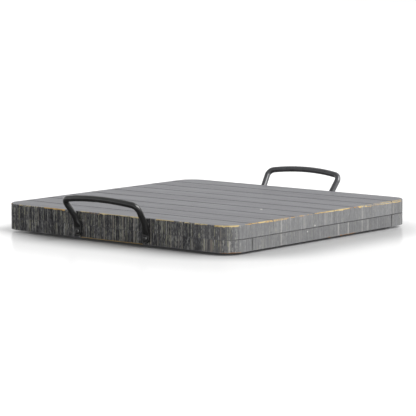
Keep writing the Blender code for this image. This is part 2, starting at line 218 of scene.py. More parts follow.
class Graph:
    """Adds nodes to one tree, with a method for each kind that the finishes need."""

    def __init__(self, tree: bpy.types.NodeTree) -> None:
        """Keep the tree that the nodes go into."""
        self.tree = tree

    def feed(self, socket: Socket, value: object) -> None:
        """Link a socket to another one, or set its value.

        Args:
            socket: The input to feed.
            value: Another socket, a number, a vector, or a colour without its alpha.
        """
        if isinstance(value, bpy.types.NodeSocket):
            self.tree.links.new(value, socket)
        elif isinstance(value, tuple) and len(value) == 3 and socket.type == "RGBA":
            socket.default_value = (*value, 1.0)
        else:
            socket.default_value = value

    def add(self, kind: str, inputs: dict[str | int, object] | None = None,
            **settings: object) -> bpy.types.Node:
        """Add a node.

        Args:
            kind: Blender's name for the node.
            inputs: Values or sockets for its inputs, by name or number.
            settings: Its own properties.

        Returns:
            The node.
        """
        node = self.tree.nodes.new(kind)
        for key, value in settings.items():
            setattr(node, key, value)
        for key, value in (inputs or {}).items():
            self.feed(node.inputs[key], value)
        return node

    def math(self, operation: str, first: object, second: object = 0.0) -> Socket:
        """Work out one arithmetic step of two numbers."""
        inputs = {0: first, 1: second}
        return self.add("ShaderNodeMath", inputs, operation=operation).outputs[0]

    def plus(self, first: object, second: object, weight: float = 1.0) -> Socket:
        """Add to a number another one, times a weight."""
        inputs = {0: second, 1: weight, 2: first}
        return self.add("ShaderNodeMath", inputs, operation="MULTIPLY_ADD").outputs[0]

    def times(self, first: object, second: object) -> Socket:
        """Multiply two numbers."""
        return self.math("MULTIPLY", first, second)

    def measure(self, operation: str, *vectors: object) -> Socket:
        """Work out a number from one or two vectors, such as a distance."""
        inputs = dict(enumerate(vectors))
        return self.add("ShaderNodeVectorMath", inputs, operation=operation).outputs["Value"]

    def rise(self, value: object, span: Pair) -> Socket:
        """Map a value to 0 at the span's start and 1 at its end, with a smooth step between."""
        inputs = {"Value": value, "From Min": span[0], "From Max": span[1]}
        return self.add("ShaderNodeMapRange", inputs, interpolation_type="SMOOTHSTEP").outputs[0]

    def mix(self, factor: object, first: object, second: object) -> Socket:
        """Blend two colours.

        Args:
            factor: 0 for the first one, 1 for the second.
            first: A colour.
            second: Another colour.

        Returns:
            The blended colour.
        """
        node = self.add("ShaderNodeMix", data_type="RGBA")
        for place, value in ((0, factor), (6, first), (7, second)):
            self.feed(node.inputs[place], value)
        return node.outputs[2]

    def blend(self, factor: object, first: object, second: object) -> Socket:
        """Blend two numbers."""
        return self.add("ShaderNodeMix", {0: factor, 2: first, 3: second}).outputs[0]

    def noise(self, place: object, scale: float, detail: float = 2.0) -> Socket:
        """Sample noise from 0 to 1 at a place."""
        inputs = {"Vector": place, "Scale": scale, "Detail": detail}
        return self.add("ShaderNodeTexNoise", inputs).outputs[0]

    def drawn_noise(self, place: tuple[object, object, object], scales: Pair,
                    detail: float = 2.0) -> Socket:
        """Sample noise that is finer one way than the other.

        Args:
            place: Two coordinates, and what sets one piece's pattern off from another's.
            scales: What the two coordinates are multiplied by.
            detail: How many finer layers the noise has.

        Returns:
            Noise from 0 to 1.
        """
        first, second = (self.times(part, scale) for part, scale in zip(place, scales))
        return self.noise(self.place(first, second, place[2]), 1.0, detail)

    def roughen(self, value: object, noise: Socket, amount: float) -> Socket:
        """Add noise to a value, as far down as up."""
        return self.plus(value, self.math("SUBTRACT", noise, 0.5), amount)

    def random(self, *place: object) -> Socket:
        """Give each place, of three numbers, a value from 0 to 1 of its own."""
        return self.add("ShaderNodeTexWhiteNoise", {"Vector": self.place(*place)}).outputs["Value"]

    def weighted(self, *terms: tuple[object, float]) -> Socket:
        """Add up values, each times its weight.

        Args:
            terms: Pairs of a value and its weight.

        Returns:
            The sum.
        """
        total = 0.0
        for value, weight in terms:
            total = self.plus(total, value, weight)
        return total

    def place(self, x: object, y: object, z: object) -> Socket:
        """Make a vector of three numbers."""
        return self.add("ShaderNodeCombineXYZ", {0: x, 1: y, 2: z}).outputs[0]

    def parts(self, vector: Socket) -> tuple[Socket, ...]:
        """Split a vector into its three numbers."""
        return tuple(self.add("ShaderNodeSeparateXYZ", {0: vector}).outputs)

    def attribute(self, name: str) -> Socket:
        """Read a vector that is stored at the mesh's points."""
        return self.add("ShaderNodeAttribute", attribute_name=name).outputs["Vector"]

    def position(self) -> Socket:
        """Read the Object coordinates."""
        return self.add("ShaderNodeTexCoord").outputs["Object"]

    def bump(self, height: Socket, strength: float, depth: float) -> Socket:
        """Turn a height from 0 to 1 into a normal, for relief of a depth."""
        inputs = {"Height": height, "Strength": strength, "Distance": depth}
        return self.add("ShaderNodeBump", inputs).outputs[0]

    def group(self, tree: bpy.types.NodeTree, inputs: dict[str, object]) -> Sockets:
        """Place a shared effect, feed its inputs and give its outputs."""
        return self.add("ShaderNodeGroup", inputs, node_tree=tree).outputs


def new_group(name: str, inputs: dict[str, str],
              outputs: dict[str, str]) -> tuple[Graph, Sockets, Sockets]:
    """Start a shader node group.

    Args:
        name: The group's name.
        inputs: Socket names and their kinds, such as "Float".
        outputs: The same for what it puts out.

    Returns:
        Its graph, its input sockets by name, and its output sockets by name.
    """
    tree = bpy.data.node_groups.new(name, "ShaderNodeTree")
    for names, side in ((inputs, "INPUT"), (outputs, "OUTPUT")):
        for socket_name, kind in names.items():
            tree.interface.new_socket(socket_name, in_out=side, socket_type=f"NodeSocket{kind}")
    graph = Graph(tree)
    return graph, graph.add("NodeGroupInput").outputs, graph.add("NodeGroupOutput").inputs


@dataclass(frozen=True)
class SawColumns:
    """Upright columns of saw marks: their width in pitches, a stretch's length, and a pattern."""

    width: float
    stretch: float
    pattern: float
    shift: float = 7.0
    stretch_pattern: float = 0.37

    def shades(self, graph: Graph, put: Sockets, steps: Socket,
               layer: object) -> tuple[Socket, Socket]:
        """Give a random shade to each column, and to each stretch of its height.

        Args:
            graph: The group's graph.
            put: The group's inputs, of which the height and the layer are read.
            steps: The run, in pitches.
            layer: What sets one layer's columns off from another's.

        Returns:
            The column's shade and the stretch's, from 0 to 1.
        """
        column = graph.math("FLOOR", graph.math("DIVIDE", steps, self.width))
        own = graph.random(column, layer, self.pattern)
        up = graph.plus(graph.math("DIVIDE", put["Height"], self.stretch), own, self.shift)
        stretch = graph.math("ADD", put["Layer"], graph.math("FLOOR", up))
        return own, graph.random(column, stretch, self.pattern + self.stretch_pattern)


@dataclass(frozen=True)
class SawMarks:
    """Upright marks that a saw leaves on a board's edge.

    The run is cut into narrow columns, which waver a little with the height. Each column has a
    random shade of its own, and so has each stretch of it, whose length is random too. Finer
    columns and a mottle are added. Broad noise gathers light and dark columns into patches.
    """

    sway_scales: Pair = (160.0, 45.0)
    sway: float = 1.6
    wide: SawColumns = SawColumns(width=1.0, stretch=13 * MM, pattern=0.11)
    fine: SawColumns = SawColumns(width=0.45, stretch=6 * MM, pattern=0.53)
    mottle_scale: float = 520.0
    mottle_squash: tuple[float, float, float] = (1.0, 1.0, 0.4)
    mottle_span: Pair = (0.33, 0.67)
    patch_scales: Pair = (60.0, 40.0)
    weights: tuple[float, ...] = (0.36, 0.22, 0.24, 0.18, 0.24, 0.32)
    light_span: Pair = (0.86, 1.10)
    dark_span: Pair = (0.79, 0.60)
    tint_pattern: float = 0.83

    def build(self) -> bpy.types.NodeTree:
        """Make the group.

        Returns:
            The group, with masks of its light and dark marks, a tint for each column, and the
            shade that they are cut from as a relief.
        """
        graph, put, out = new_group(
            "saw_marks",
            {"Run": "Float", "Height": "Float", "Layer": "Float", "Place": "Vector",
             "Pitch": "Float"},
            {"Light": "Float", "Dark": "Float", "Tint": "Float", "Relief": "Float"},
        )
        run, height, layer = put["Run"], put["Height"], put["Layer"]
        sway = graph.drawn_noise((run, height, 0.0), self.sway_scales, 1.0)
        steps = graph.plus(graph.math("DIVIDE", run, put["Pitch"]), sway, self.sway)
        squash = {0: put["Place"], 1: self.mottle_squash}
        squashed = graph.add("ShaderNodeVectorMath", squash, operation="MULTIPLY").outputs[0]
        values = (
            *self.wide.shades(graph, put, steps, 0.0),
            *self.fine.shades(graph, put, steps, layer),
            graph.rise(graph.noise(squashed, self.mottle_scale), self.mottle_span),
            graph.drawn_noise((run, height, layer), self.patch_scales),
        )
        shade = graph.weighted(*zip(values, self.weights))
        column = graph.math("FLOOR", steps)
        graph.feed(out["Light"], graph.rise(shade, self.light_span))
        graph.feed(out["Dark"], graph.rise(shade, self.dark_span))
        graph.feed(out["Tint"], graph.random(column, layer, self.tint_pattern))
        graph.feed(out["Relief"], shade)
        return graph.tree


@dataclass(frozen=True)
class WoodGrain:
    """Fibres and planing marks along a board: noise stretched a hundredfold along the grain."""

    drift_scales: Pair = (30.0, 7.0)
    drift: float = 6 * MM
    fibre_scales: Pair = (900.0, 14.0)
    fibre_span: Pair = (0.35, 0.68)
    streak_scales: Pair = (170.0, 3.5)
    streak_span: Pair = (0.38, 0.66)

    def build(self) -> bpy.types.NodeTree:
        """Make the group.

        Returns:
            The group, with masks of the fibres and the broader streaks, and their relief.
        """
        graph, put, out = new_group(
            "grain",
            {"Across": "Float", "Along": "Float", "Board": "Float"},
            {"Fibres": "Float", "Streaks": "Float", "Relief": "Float"},
        )
        along, board = put["Along"], put["Board"]
        drift = graph.drawn_noise((put["Across"], along, board), self.drift_scales)
        across = graph.plus(put["Across"], drift, self.drift)
        fibre = graph.drawn_noise((across, along, board), self.fibre_scales, 3.0)
        streak = graph.drawn_noise((across, along, board), self.streak_scales)
        graph.feed(out["Fibres"], graph.rise(fibre, self.fibre_span))
        graph.feed(out["Streaks"], graph.rise(streak, self.streak_span))
        graph.feed(out["Relief"], graph.blend(0.5, fibre, streak))
        return graph.tree


@dataclass(frozen=True)
class EdgeWear:
    """Bare wood where an edge is worn through.

    The stored wear is roughened by noise and cut off sharply. The stored tint picks the wood's
    colour from pale through tan to burnt, with fine noise between them.
    """

    fleck_scale: float = 520.0
    fleck: float = 0.9
    bare_span: Pair = (0.42, 0.58)
    tint_scale: float = 240.0
    tint_spread: float = 0.7
    tan_span: Pair = (0.15, 0.55)
    burnt_span: Pair = (0.55, 0.95)

    def build(self) -> bpy.types.NodeTree:
        """Make the group.

        Returns:
            The group, with a mask of the bare wood, and its colour.
        """
        graph, put, out = new_group(
            "edge_wear",
            {"Wear": "Float", "Tint": "Float", "Place": "Vector", "Pale": "Color", "Tan": "Color",
             "Burnt": "Color"},
            {"Bare": "Float", "Wood": "Color"},
        )
        fleck = graph.noise(put["Place"], self.fleck_scale, 3.0)
        ragged = graph.roughen(put["Wear"], fleck, self.fleck)
        graph.feed(out["Bare"], graph.rise(ragged, self.bare_span))
        tint = graph.roughen(
            put["Tint"], graph.noise(put["Place"], self.tint_scale), self.tint_spread)
        wood = graph.mix(graph.rise(tint, self.tan_span), put["Pale"], put["Tan"])
        wood = graph.mix(graph.rise(tint, self.burnt_span), wood, put["Burnt"])
        graph.feed(out["Wood"], wood)
        return graph.tree


@dataclass(frozen=True)
class KnockedSpot:
    """A spot where the paint is knocked off, round a centre, with an outline ragged by noise."""

    noise_scale: float = 700.0
    soft_rim: Pair = (-0.4 * MM, 0.4 * MM)

    def build(self) -> bpy.types.NodeTree:
        """Make the group.

        Returns:
            The group, with a mask of the spot.
        """
        sockets = {"Place": "Vector", "Centre": "Vector", "Radius": "Float"}
        graph, put, out = new_group("nick", sockets, {"Bare": "Float"})
        away = graph.measure("DISTANCE", put["Place"], put["Centre"])
        size = graph.math("ADD", graph.noise(put["Place"], self.noise_scale, 3.0), 0.5)
        inside = graph.math("SUBTRACT", graph.times(size, put["Radius"]), away)
        graph.feed(out["Bare"], graph.rise(inside, self.soft_rim))
        return graph.tree


@dataclass(frozen=True)
class UnevenMetal:
    """Slow clouds and a fine peel over metal or enamel, both by noise."""

    cloud_scale: float = 90.0
    peel_scale: float = 900.0

    def build(self) -> bpy.types.NodeTree:
        """Make the group.

        Returns:
            The group, with the clouds and the peel, from 0 to 1.
        """
        graph, put, out = new_group(
            "uneven_metal", {"Place": "Vector"}, {"Cloud": "Float", "Peel": "Float"})
        graph.feed(out["Cloud"], graph.noise(put["Place"], self.cloud_scale, 3.0))
        graph.feed(out["Peel"], graph.noise(put["Place"], self.peel_scale))
        return graph.tree


def surface(name: str, **constants: object) -> tuple[bpy.types.Material, Graph, Sockets]:
    """Start a material.

    Args:
        name: The material's name.
        constants: Values set on the Principled shader's own sockets, with underscores for spaces.

    Returns:
        The material, its graph and its Principled shader's inputs.
    """
    material = bpy.data.materials.new(name)
    material.use_nodes = True
    graph = Graph(material.node_tree)
    shader = material.node_tree.nodes["Principled BSDF"].inputs
    for key, value in constants.items():
        graph.feed(shader[key.replace("_", " ")], value)
    return material, graph, shader


# Finishes

class Grain(Enum):
    """Which way a board's fibres run."""

    ALONG_X = "x"
    ALONG_Y = "y"


@dataclass(frozen=True)
class Nick:
    """A place where the paint is knocked off, and how far it reaches."""

    centre: tuple[float, float, float]
    radius: float


@dataclass(frozen=True)
class PaintEffects:
    """The shared effects that the boards' paint is made with."""

    saw: bpy.types.NodeTree
    grain: bpy.types.NodeTree
    wear: bpy.types.NodeTree
    nick: bpy.types.NodeTree


@dataclass(frozen=True)
class BoardPaint:
    """Old grey paint on rough-sawn wood, worn through at the edges and knocked off in spots, with
    painted shade in its joints and grooves.
    """

    top: Colour = (0.302, 0.302, 0.318)
    top_dark: Colour = (0.190, 0.190, 0.201)
    end: Colour = (0.190, 0.191, 0.194)
    end_light: Colour = (0.33, 0.327, 0.32)
    end_dark: Colour = (0.095, 0.096, 0.099)
    # The sides' paint is darker than the ends' partly as the long grain's own darker paint and
    # partly as painted shade.
    side: Colour = (0.103, 0.103, 0.108)
    side_light: Colour = (0.37, 0.37, 0.355)
    side_olive: Colour = (0.27, 0.265, 0.19)
    side_dark: Colour = (0.024, 0.024, 0.026)
    score: Colour = (0.46, 0.45, 0.42)
    score_tan: Colour = (0.36, 0.27, 0.20)
    # Painted shade in open joints and in the grooves and seams between boards.
    joint: Colour = (0.02, 0.02, 0.02)
    pale_wood: Colour = (0.60, 0.50, 0.28)
    tan_wood: Colour = (0.56, 0.38, 0.14)
    burnt_wood: Colour = (0.40, 0.20, 0.09)
    nick_colour: Colour = (0.58, 0.57, 0.54)
    side_pitch: float = 1.15 * MM
    end_pitch: float = 1.7 * MM
    olive_span: Pair = (0.25, 0.6)
    end_marks_span: Pair = (0.1, 0.55)
    end_marks: Pair = (0.32, 1.0)
    fray: float = 0.8
    fray_span: Pair = (0.7, 1.2)
    fibres: float = 0.5
    streaks: float = 0.4
    joint_span: Pair = (-0.1, -0.9)
    specular: float = 0.22
    roughness: Pair = (0.48, 0.62)
    level_relief: float = 0.35
    relief: float = 0.6
    relief_depth: float = 0.5 * MM
    nicks: tuple[Nick, ...] = (
        Nick((-40.5 * MM, -137.8 * MM, 44.5 * MM), 1.9 * MM),
        Nick((-37 * MM, -135 * MM, 44.5 * MM), 2.1 * MM),
        Nick((-33.5 * MM, -132.2 * MM, 44.5 * MM), 1.9 * MM),
        Nick((-24.5 * MM, -228.5 * MM, 25.8 * MM), 1.2 * MM),
        Nick((-43 * MM, -228.5 * MM, 18.5 * MM), 1.15 * MM),
    )

    def upright(self, graph: Graph, side_marks: Sockets, end_marks: Sockets,
                side: Socket) -> Socket:
        """Colour the upright faces, with saw marks that are stronger at the sides.

        Args:
            graph: The material's graph.
            side_marks: The saw marks of the sides.
            end_marks: Those of the boards' ends.
            side: 1 on the sides and 0 on the ends.

        Returns:
            The colour. The two pass into each other along a frayed line.
        """
        olive = graph.rise(side_marks["Tint"], self.olive_span)
        streak = graph.mix(olive, self.side_light, self.side_olive)
        at_side = graph.mix(side_marks["Light"], self.side, streak)
        at_side = graph.mix(side_marks["Dark"], at_side, self.side_dark)
        rough = graph.blend(graph.rise(side, self.end_marks_span), *self.end_marks)
        at_end = graph.mix(graph.times(end_marks["Light"], rough), self.end, self.end_light)
        at_end = graph.mix(graph.times(end_marks["Dark"], rough), at_end, self.end_dark)
        frayed = graph.weighted((side, 1.0), (side_marks["Relief"], self.fray))
        return graph.mix(graph.rise(frayed, self.fray_span), at_end, at_side)

    def level(self, graph: Graph, grain: Sockets) -> Socket:
        """Colour the flat faces, darker along fibres and streaks.

        Args:
            graph: The material's graph.
            grain: The board's grain.

        Returns:
            The colour.
        """
        colour = graph.mix(graph.times(grain["Fibres"], self.fibres), self.top, self.top_dark)
        return graph.mix(graph.times(grain["Streaks"], self.streaks), colour, self.top_dark)

    def scored(self, graph: Graph, colour: Socket, score: Socket, tint: Socket) -> Socket:
        """Lay the scores over a colour.

        Args:
            graph: The material's graph.
            colour: The paint's colour.
            score: How strong the scores are.
            tint: From pale to tan, or below 0 for the painted shade of an open joint or a broken
                edge.

        Returns:
            The colour with its scores.
        """
        line = graph.mix(tint, self.score, self.score_tan)
        line = graph.mix(graph.rise(tint, self.joint_span), line, self.joint)
        return graph.mix(score, colour, line)

    def build(self, name: str, grain: Grain, effects: PaintEffects) -> bpy.types.Material:
        """Make the material.

        Args:
            name: The material's name.
            grain: Which way the fibres run.
            effects: The shared effects.

        Returns:
            The material, which reads the boards' stored face, board and edge values.
        """
        material, graph, shader = surface(name, Specular_IOR_Level=self.specular)
        position = graph.position()
        x, y, z = graph.parts(position)
        run, side, flat = graph.parts(graph.attribute("face"))
        tone, layer, score = graph.parts(graph.attribute("board"))
        edge, tint, score_tint = graph.parts(graph.attribute("edge"))

        place = {"Run": run, "Height": z, "Layer": layer, "Place": position}
        side_marks, end_marks = (
            graph.group(effects.saw, {**place, "Pitch": pitch})
            for pitch in (self.side_pitch, self.end_pitch)
        )
        across, along = (x, y) if grain is Grain.ALONG_Y else (y, x)
        inputs = {"Across": across, "Along": along, "Board": layer}
        fibres = graph.group(effects.grain, inputs)

        upright = self.upright(graph, side_marks, end_marks, side)
        colour = graph.mix(flat, upright, self.level(graph, fibres))
        toned = {"Value": tone, "Color": colour}
        colour = graph.add("ShaderNodeHueSaturation", toned).outputs[0]
        colour = self.scored(graph, colour, score, score_tint)

        woods = {"Pale": self.pale_wood, "Tan": self.tan_wood, "Burnt": self.burnt_wood}
        inputs = {"Wear": edge, "Tint": tint, "Place": position, **woods}
        worn = graph.group(effects.wear, inputs)
        colour = graph.mix(worn["Bare"], colour, worn["Wood"])
        for nick in self.nicks:
            inputs = {"Place": position, "Centre": nick.centre, "Radius": nick.radius}
            bare = graph.group(effects.nick, inputs)["Bare"]
            colour = graph.mix(bare, colour, self.nick_colour)
        graph.feed(shader["Base Color"], colour)
        graph.feed(shader["Roughness"], graph.blend(fibres["Fibres"], *self.roughness))

        level_relief = graph.times(fibres["Relief"], self.level_relief)
        relief = graph.blend(flat, side_marks["Relief"], level_relief)
        graph.feed(shader["Normal"], graph.bump(relief, self.relief, self.relief_depth))
        return material


@dataclass(frozen=True)
class Metal:
    """Plain or enamelled metal, with fine unevenness in its gloss."""

    colour: Colour
    roughness: float
    metallic: float
    coat: float = 0.0
    coat_roughness: float = 0.08
    light_gain: float = 1.5
    light_lift: float = 0.004
    light_span: Pair = (0.3, 0.8)
    roughness_spread: float = 0.25
    relief: float = 0.5
    relief_depth: float = 0.02 * MM

    def build(self, name: str, uneven: bpy.types.NodeTree) -> bpy.types.Material:
        """Make the material.

        Args:
            name: The material's name.
            uneven: The shared unevenness, which is read on Object coordinates.

        Returns:
            The material, whose colour, gloss and relief vary a little.
        """
        material, graph, shader = surface(
            name, Metallic=self.metallic, Coat_Weight=self.coat,
            Coat_Roughness=self.coat_roughness)
        noise = graph.group(uneven, {"Place": graph.position()})
        lighter = tuple(min(1.0, part * self.light_gain + self.light_lift) for part in self.colour)
        light = graph.rise(noise["Cloud"], self.light_span)
        smooth = self.roughness * (1 - self.roughness_spread)
        rough = self.roughness * (1 + self.roughness_spread)
        graph.feed(shader["Base Color"], graph.mix(light, self.colour, lighter))
        graph.feed(shader["Roughness"], graph.blend(noise["Cloud"], smooth, rough))
        normal = graph.bump(noise["Peel"], self.relief, self.relief_depth)
        graph.feed(shader["Normal"], normal)
        return material


@dataclass(frozen=True)
class Rubber:
    """Moulded black rubber, a little dusty."""

    colour: Colour = (0.016, 0.016, 0.017)
    dust: Colour = (0.06, 0.058, 0.055)
    roughness: float = 0.8
    speck_scale: float = 700.0
    speck_span: Pair = (0.52, 0.75)

    def build(self, name: str) -> bpy.types.Material:
        """Make the material.

        Args:
            name: The material's name.

        Returns:
            The material, with specks of dust by noise.
        """
        material, graph, shader = surface(name, Roughness=self.roughness)
        noise = graph.noise(graph.position(), self.speck_scale, 4.0)
        specks = graph.rise(noise, self.speck_span)
        graph.feed(shader["Base Color"], graph.mix(specks, self.colour, self.dust))
        return material


# Edges of the boards

class Side(Enum):
    """A side of the tray, in the order in which the run goes round."""

    BACK = 0
    LEFT = 1
    FRONT = 2
    RIGHT = 3


@dataclass(frozen=True)
class EdgeBreak:
    """How one kind of edge of a board is broken, in metres, and how much painted shade darkens the
    break in its groove or seam.
    """

    ease: float
    ragged: float
    chip: float
    chipped_share: float
    dark: float = 0.0


@dataclass(frozen=True)
class WornStretch:
    """A stretch of an edge where the paint is worn off.

    It goes from where to where along its side, and has a strength, a tint from pale to burnt, a
    height by which the edge is broken away, and a share by which the break keeps paint midway.
    """

    side: Side
    start: float
    end: float
    strength: float
    tint: float
    drop: float = 0.0
    split: float = 0.0


@dataclass(frozen=True)
class Around:
    """What is known at each point of a board's outline, seen from above.

    Its ends are 1 where the board faces the front or the back and 0 where it faces the sides,
    and outer tells the points that lie on the tray's own outline.
    """

    points: Array
    normals: Array
    run: Array
    ends: Array
    outer: Array


@dataclass(frozen=True)
class BoardEdge:
    """How a board's upper or lower edge is broken and worn.

    It has one break for the tray's sides, one for its ends, and one for the edges inside its
    outline. Where no stretch is listed for a side, a share of it is worn at random, and more at
    the ends.
    """

    at_sides: EdgeBreak
    at_ends: EdgeBreak
    inside: EdgeBreak
    stretches: tuple[WornStretch, ...] = ()
    random_share: float = 0.3
    more_at_ends: float = 0.0

    def measure(self, name: str, around: Around) -> Array:
        """Give one measure of the breaks all the way round.

        Args:
            name: The measure's name.
            around: The board's outline.

        Returns:
            The measure at each point, which passes from the sides to the ends as the outline
            turns.
        """
        side, end, inside = (
            getattr(kind, name) for kind in (self.at_sides, self.at_ends, self.inside))
        return np.where(around.outer, side + (end - side) * around.ends, inside)


RIM_AT_ENDS = EdgeBreak(ease=0.7 * MM, ragged=0.6 * MM, chip=1.6 * MM, chipped_share=0.35)
RIM_AT_SIDES = EdgeBreak(ease=0.6 * MM, ragged=0.7 * MM, chip=2.4 * MM, chipped_share=0.42)
# The dark of grooves and seams is painted shade between the boards.
GROOVE = EdgeBreak(ease=1.4 * MM, ragged=0.6 * MM, chip=0.8 * MM, chipped_share=0.2, dark=0.66)
SEAM_AT_SIDES = EdgeBreak(ease=0.1 * MM, ragged=0.15 * MM, chip=0.4 * MM, chipped_share=0.25)
SEAM_AT_ENDS = EdgeBreak(
    ease=0.45 * MM, ragged=0.3 * MM, chip=0.4 * MM, chipped_share=0.25, dark=0.75)
UNDERSIDE = EdgeBreak(ease=0.4 * MM, ragged=0.4 * MM, chip=0.8 * MM, chipped_share=0.3)

RIM_WEAR = (
    WornStretch(Side.LEFT, 198 * MM, 142 * MM, 0.46, 0.03),
    WornStretch(Side.LEFT, 139 * MM, 99 * MM, 0.95, 0.66, 0.5 * MM),
    WornStretch(Side.LEFT, 64 * MM, 45 * MM, 0.50, 0.2),
    WornStretch(Side.LEFT, 45 * MM, 24 * MM, 0.62, 0.9, 0.5 * MM, 0.6),
    WornStretch(Side.LEFT, 24 * MM, -52 * MM, 0.62, 0.12),
    WornStretch(Side.LEFT, -88 * MM, -120 * MM, 0.80, 0.3),
    WornStretch(Side.LEFT, -132 * MM, -152 * MM, 0.46, 0.1),
    WornStretch(Side.LEFT, -162 * MM, -184 * MM, 0.60, 0.05),
    WornStretch(Side.LEFT, -200 * MM, -236 * MM, 0.95, 0.30, 1.2 * MM),
    WornStretch(Side.FRONT, -191 * MM, -163 * MM, 0.62, 0.72),
    WornStretch(Side.FRONT, -161 * MM, -143 * MM, 0.85, 0.35, 0.4 * MM),
    WornStretch(Side.FRONT, -143 * MM, -92 * MM, 0.85, 0.60, 1.2 * MM, 0.5),
    WornStretch(Side.FRONT, -92 * MM, -33 * MM, 0.50, 0.72, 0.4 * MM),
    WornStretch(Side.FRONT, -24 * MM, 4 * MM, 0.62, 0.6),
    WornStretch(Side.FRONT, 5 * MM, 66 * MM, 0.9, 0.35, 0.3 * MM),
    WornStretch(Side.FRONT, 66 * MM, 88 * MM, 0.6, 0.9),
    WornStretch(Side.FRONT, 90 * MM, 113 * MM, 0.60, 0.35, 2.6 * MM),
    WornStretch(Side.FRONT, 113 * MM, 146 * MM, 0.80, 0.55, 2.0 * MM, 0.8),
    WornStretch(Side.FRONT, 146 * MM, 205 * MM, 0.95, 0.35, 2.2 * MM, 0.7),
)
UNDERSIDE_WEAR = (
    WornStretch(Side.LEFT, 62 * MM, -60 * MM, 0.95, 0.50),
    WornStretch(Side.LEFT, -208 * MM, -240 * MM, 0.60, 0.95),
    WornStretch(Side.FRONT, 8 * MM, 16 * MM, 0.6, 0.9),
    WornStretch(Side.FRONT, 40 * MM, 80 * MM, 0.7, 0.9),
)

PLANK_TOP = BoardEdge(RIM_AT_SIDES, RIM_AT_ENDS, GROOVE, RIM_WEAR, 0.45, 0.2)
SEAM = BoardEdge(SEAM_AT_SIDES, SEAM_AT_ENDS, SEAM_AT_ENDS)
RAIL_BOTTOM = BoardEdge(UNDERSIDE, UNDERSIDE, SEAM_AT_ENDS, UNDERSIDE_WEAR)


@dataclass(frozen=True)
class Score:
    """An upright line on a side: where along it, how wide, how strong, and on which layers.

    A tint of 0 is pale, 1 is tan, and -1 is the painted shade in an open joint.
    """

    side: Side
    place: float
    width: float
    strength: float
    tint: float = 0.0
    on_planks: bool = True
    on_rails: bool = True


SCORES = (
    Score(Side.LEFT, 174 * MM, 1.6 * MM, 0.45),
    Score(Side.LEFT, 153 * MM, 1.6 * MM, 0.35, 0.6, on_rails=False),
    Score(Side.LEFT, 133 * MM, 1.5 * MM, 0.55),
    Score(Side.LEFT, 113 * MM, 1.6 * MM, 0.50, on_planks=False),
    Score(Side.LEFT, 94 * MM, 1.4 * MM, 0.45, on_planks=False),
    Score(Side.LEFT, 57 * MM, 1.6 * MM, 0.35, 0.4),
    Score(Side.LEFT, 35 * MM, 1.5 * MM, 0.50, on_rails=False),
    Score(Side.LEFT, 16 * MM, 1.5 * MM, 0.70, 0.3),
    Score(Side.LEFT, -2 * MM, 1.6 * MM, 0.62, 0.5),
    Score(Side.LEFT, -22 * MM, 1.6 * MM, 0.60, 0.4),
    Score(Side.LEFT, -44 * MM, 2.4 * MM, 0.68, 0.2),
    Score(Side.LEFT, -77 * MM, 1.6 * MM, 0.55, 0.4),
    Score(Side.LEFT, -91 * MM, 1.5 * MM, 0.45, 0.5, on_planks=False),
    Score(Side.LEFT, -116 * MM, 1.6 * MM, 0.45, 0.4),
    Score(Side.LEFT, -131 * MM, 2.2 * MM, 0.45, 0.4, on_planks=False),
    Score(Side.LEFT, -137 * MM, 1.4 * MM, 0.50, 0.3),
    Score(Side.LEFT, -158 * MM, 1.6 * MM, 0.35, 0.4, on_planks=False),
    Score(Side.LEFT, -177 * MM, 1.5 * MM, 0.45, 0.3),
    Score(Side.LEFT, -184 * MM, 1.8 * MM, 0.75, 0.3, on_planks=False),
    Score(Side.LEFT, -193 * MM, 4.5 * MM, 0.72, 0.6, on_planks=False),
    Score(Side.LEFT, -190 * MM, 1.4 * MM, 0.60, on_rails=False),
    Score(Side.LEFT, -209 * MM, 1.8 * MM, 0.45, 0.5),
    Score(Side.FRONT, -222 * MM, 2.0 * MM, 0.75, 0.2, on_planks=False),
    Score(Side.FRONT, -177 * MM, 2.5 * MM, 1.0, -1.0, on_planks=False),
    Score(Side.FRONT, 177.5 * MM, 2.6 * MM, 0.85, -1.0, on_planks=False),
    Score(Side.FRONT, -107.7 * MM, 2.2 * MM, 0.62),
    Score(Side.FRONT, -62 * MM, 2.0 * MM, 0.25, on_planks=False),
    Score(Side.FRONT, 3 * MM, 2.0 * MM, 0.25, on_rails=False),
    Score(Side.FRONT, 18 * MM, 2.4 * MM, 0.30, on_rails=False),
    Score(Side.FRONT, 36 * MM, 2.4 * MM, 0.55, on_planks=False),
    Score(Side.FRONT, 61 * MM, 2.4 * MM, 0.60, on_planks=False),
    Score(Side.FRONT, 98 * MM, 2.6 * MM, 0.40),
    Score(Side.FRONT, 113 * MM, 2.4 * MM, 0.35, on_planks=False),
    Score(Side.FRONT, 183 * MM, 2.6 * MM, 0.40, on_rails=False),
)


# Boards

